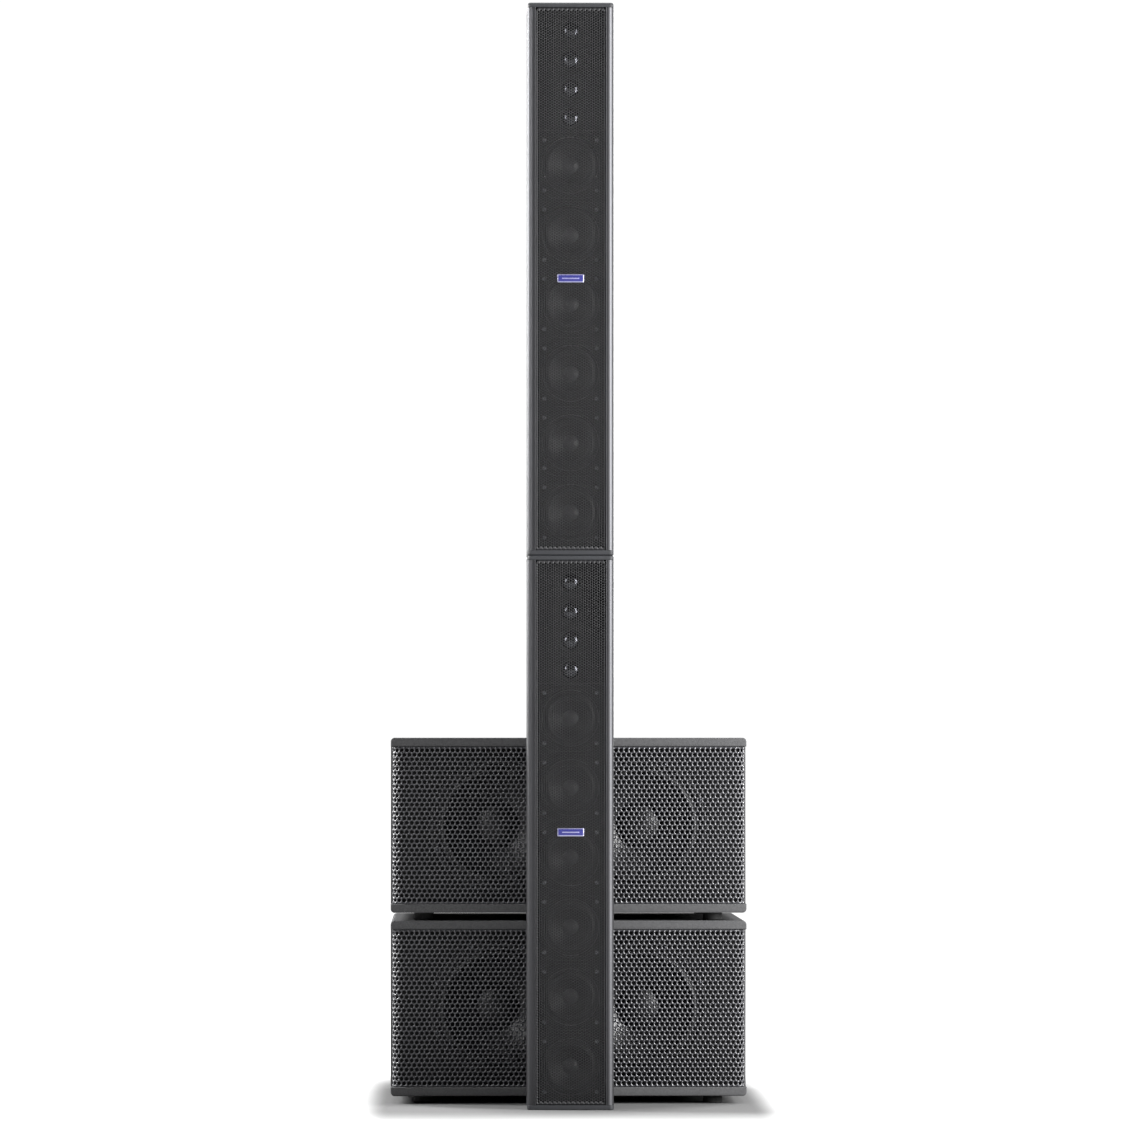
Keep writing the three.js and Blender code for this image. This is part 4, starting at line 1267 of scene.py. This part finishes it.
def pocket_handle(node, sign):
    """Moulded handle: a flange, a rounded pocket behind it, and a grip bar across the top."""
    low, high = corners(node)
    centre = (low + high) / 2
    face = high[0] if sign > 0 else -low[0]
    inside = (
        (84.6, 49.6, 7.5, 2.0), (84.9, 49.9, 7.8, 0.8), (84.2, 49.2, 7.2, 0.0), (73.6, 38.6, 7.0, 0.0),
        (72.4, 37.4, 6.6, 1.2), (71.0, 36.0, 9.0, 34.0), (67.0, 32.0, 9.0, 37.5), (0.1, 0.1, 0.1, 37.5))
    outside = (
        (0.1, 0.1, 0.1, 40.0), (70.0, 35.0, 9.0, 40.0), (74.8, 39.8, 9.0, 36.0), (74.8, 39.8, 8.0, 2.0))
    cup = looped([(matched(half_length, half_height, radius), face - depth)
                  for half_length, half_height, radius, depth in inside + outside], "x")
    grip_outline = rounded_rectangle(7.4, 10.6, 5.0, 0, 8) + np.array([face - 8.6, 26.6])
    grip_points = laid(grip_outline, 0.0, "y")
    stations = np.stack([grip_points + np.array([0, y, 0]) for y in (-74.0, -40.0, 0.0, 40.0, 74.0)])
    ends = [np.broadcast_to(station.mean(0), (1, *station.shape)) for station in stations[[0, -1]]]
    grip = grid(np.concatenate([ends[0], stations, ends[1]]), along=True)
    shape = on_side(together(cup, grip), sign, centre)
    add_piece(f"{node}_moulding", shape, "matt_moulding", stands_for=[node])
    handle_screws(node, sign, face, centre)


def handle_screws(node, sign, face, centre):
    """Six screws through the handle's flange."""
    heads = []
    for y in (-79, 0, 79):
        for z in (-44, 44):
            points, triangles = turned([
                (0, 0.2), (1.2, 0.2), (1.3, -0.6), (2.4, -0.5), (3.0, 0.4), (3.0, 0.8), (0, 0.8)], 14)
            points = np.stack([face + 0.3 - points[:, 1] - 0.6, points[:, 0] + y, points[:, 2] + z], 1)
            heads.append((points, triangles))
    add_piece(f"{node}_screws", on_side(together(*heads), sign, centre), "screw")


def sub_panel_face(node):
    """Depth of the face of a subwoofer's amplifier panel, which its heatsink stands proud of."""
    return corners(node)[0][1] + FINS_DEPTH + PANEL_SHEET


def rocker_piece(node):
    """Mains rocker in its finish, with a thin bezel round it."""
    x, _, z = middle(node)
    finish_node(node, "rocker")
    face = sub_panel_face(node.replace("power_switch", "amp_panel"))
    outer, inner = rounded_rectangle(9.6, 13.4, 1.6), rounded_rectangle(7.4, 10.8, 0.4)
    bezel = looped((
        (inner, face + 0.05), (inner, face + 1.2), (outer, face + 1.0), (outer, face + 0.05)), "y")
    add_piece(f"{node}_bezel", moved(bezel, x, 0, z), "socket")


def port_tube(level, sign, side, back):
    """Flared port: a rounded collar outside the rear board and a tube inside it."""
    z = middle(f"{level}_sub_amp_panel")[2]
    flare = [(40.0, back), (39.4, back + 1.8), (36.5, back + 2.6), (33.5, back + 1.6), (31.4, back - 2),
             (30.4, back - 10), (30.0, back - 120), (32.0, back - 120), (32.2, back - 0.4), (36.0, back)]
    add_piece(f"{level}_sub_port_{side}", turned(flare, 56, sign * PORT_SPACING / 2, z, closed=True),
              "matt_moulding")


def sub_rear(level):
    """Amplifier panel of one subwoofer with its controls, and the ports beside it."""
    node = f"{level}_sub_amp_panel"
    face = sub_panel_face(node)
    z = middle(node)[2]
    finish_node(node, "panel")
    control_knob(f"{level}_sub_level_knob", face)
    rocker_piece(f"{level}_sub_power_switch")
    lamps = ((72, "green_lamp"), (84, "amber_lamp"), (96, "amber_lamp"))
    for number, (x, material) in enumerate(lamps, 1):
        lamp(f"{level}_sub_lamp_{number}", x, z + 72, face, material)
    sockets = ((34, 24, False), (84, 24, False), (34, -18, True), (84, -18, True))
    for number, (x, dz, male) in enumerate(sockets, 1):
        signal_socket(f"{level}_sub_signal_{number}", x, z + dz, face, male)
    mains_inlet(f"{level}_sub_mains", 58, z - 66, face)
    screws = [(x, z + dz) for x in (-130, 0, 130) for dz in (-99, 99)] + [(-130, z), (130, z)]
    rules = [(12, 122, z + dz) for dz in (50, -42)]
    panel_screws_and_rules(f"{level}_sub_panel", face, screws, rules)
    back = corners(f"{level}_sub_cabinet")[1][1]
    for side, sign in SIDES:
        port_tube(level, sign, side, back)


# ---------------------------------------------------------------- rigging

def pull_pin(node):
    """Turned steel pin with a grooved pull knob."""
    low, high = corners(node)
    x, _, z = middle(node)
    seat = high[1] - 8.0
    profile = [(0, low[1]), (2.8, low[1]), (3.8, low[1] + 1.6), (4, low[1] + 3), (4, seat), (8.6, seat),
               (9.8, seat + 0.9), (9.8, seat + 2.6), (8.4, seat + 3.4), (8.4, seat + 4.6),
               (9.8, seat + 5.4), (9.6, seat + 6.8), (8.6, seat + 7.5), (5.0, seat + 7.9), (0, seat + 8)]
    body = frame["nodes"][node]["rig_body"]
    add_piece(f"{node}_turned", turned(profile, 40, x, z), "pin", body, [node])


def rigging():
    """Pins, link plate and tie bracket."""
    for level in LEVELS:
        pull_pin(f"link_pin_{level}")
    finish_node("link_plate", "steel")
    finish_node("tie_bracket", "steel")


# ---------------------------------------------------------------- the whole system

add_camera()
set_world()
add_lights()
add_floor()
for level_name in LEVELS:
    column_profile(level_name)
    column_grille(level_name)
    column_front(level_name)
    column_rear(level_name)
    sub_carcass(level_name)
    sub_grille(level_name)
    for side_name, side_sign in SIDES:
        big_driver(level_name, side_name)
        pocket_handle(f"{level_name}_sub_handle_{side_name}", side_sign)
    for foot_number in range(1, 5):
        sub_foot(f"{level_name}_sub_foot_{foot_number}")
    sub_rear(level_name)
rigging()
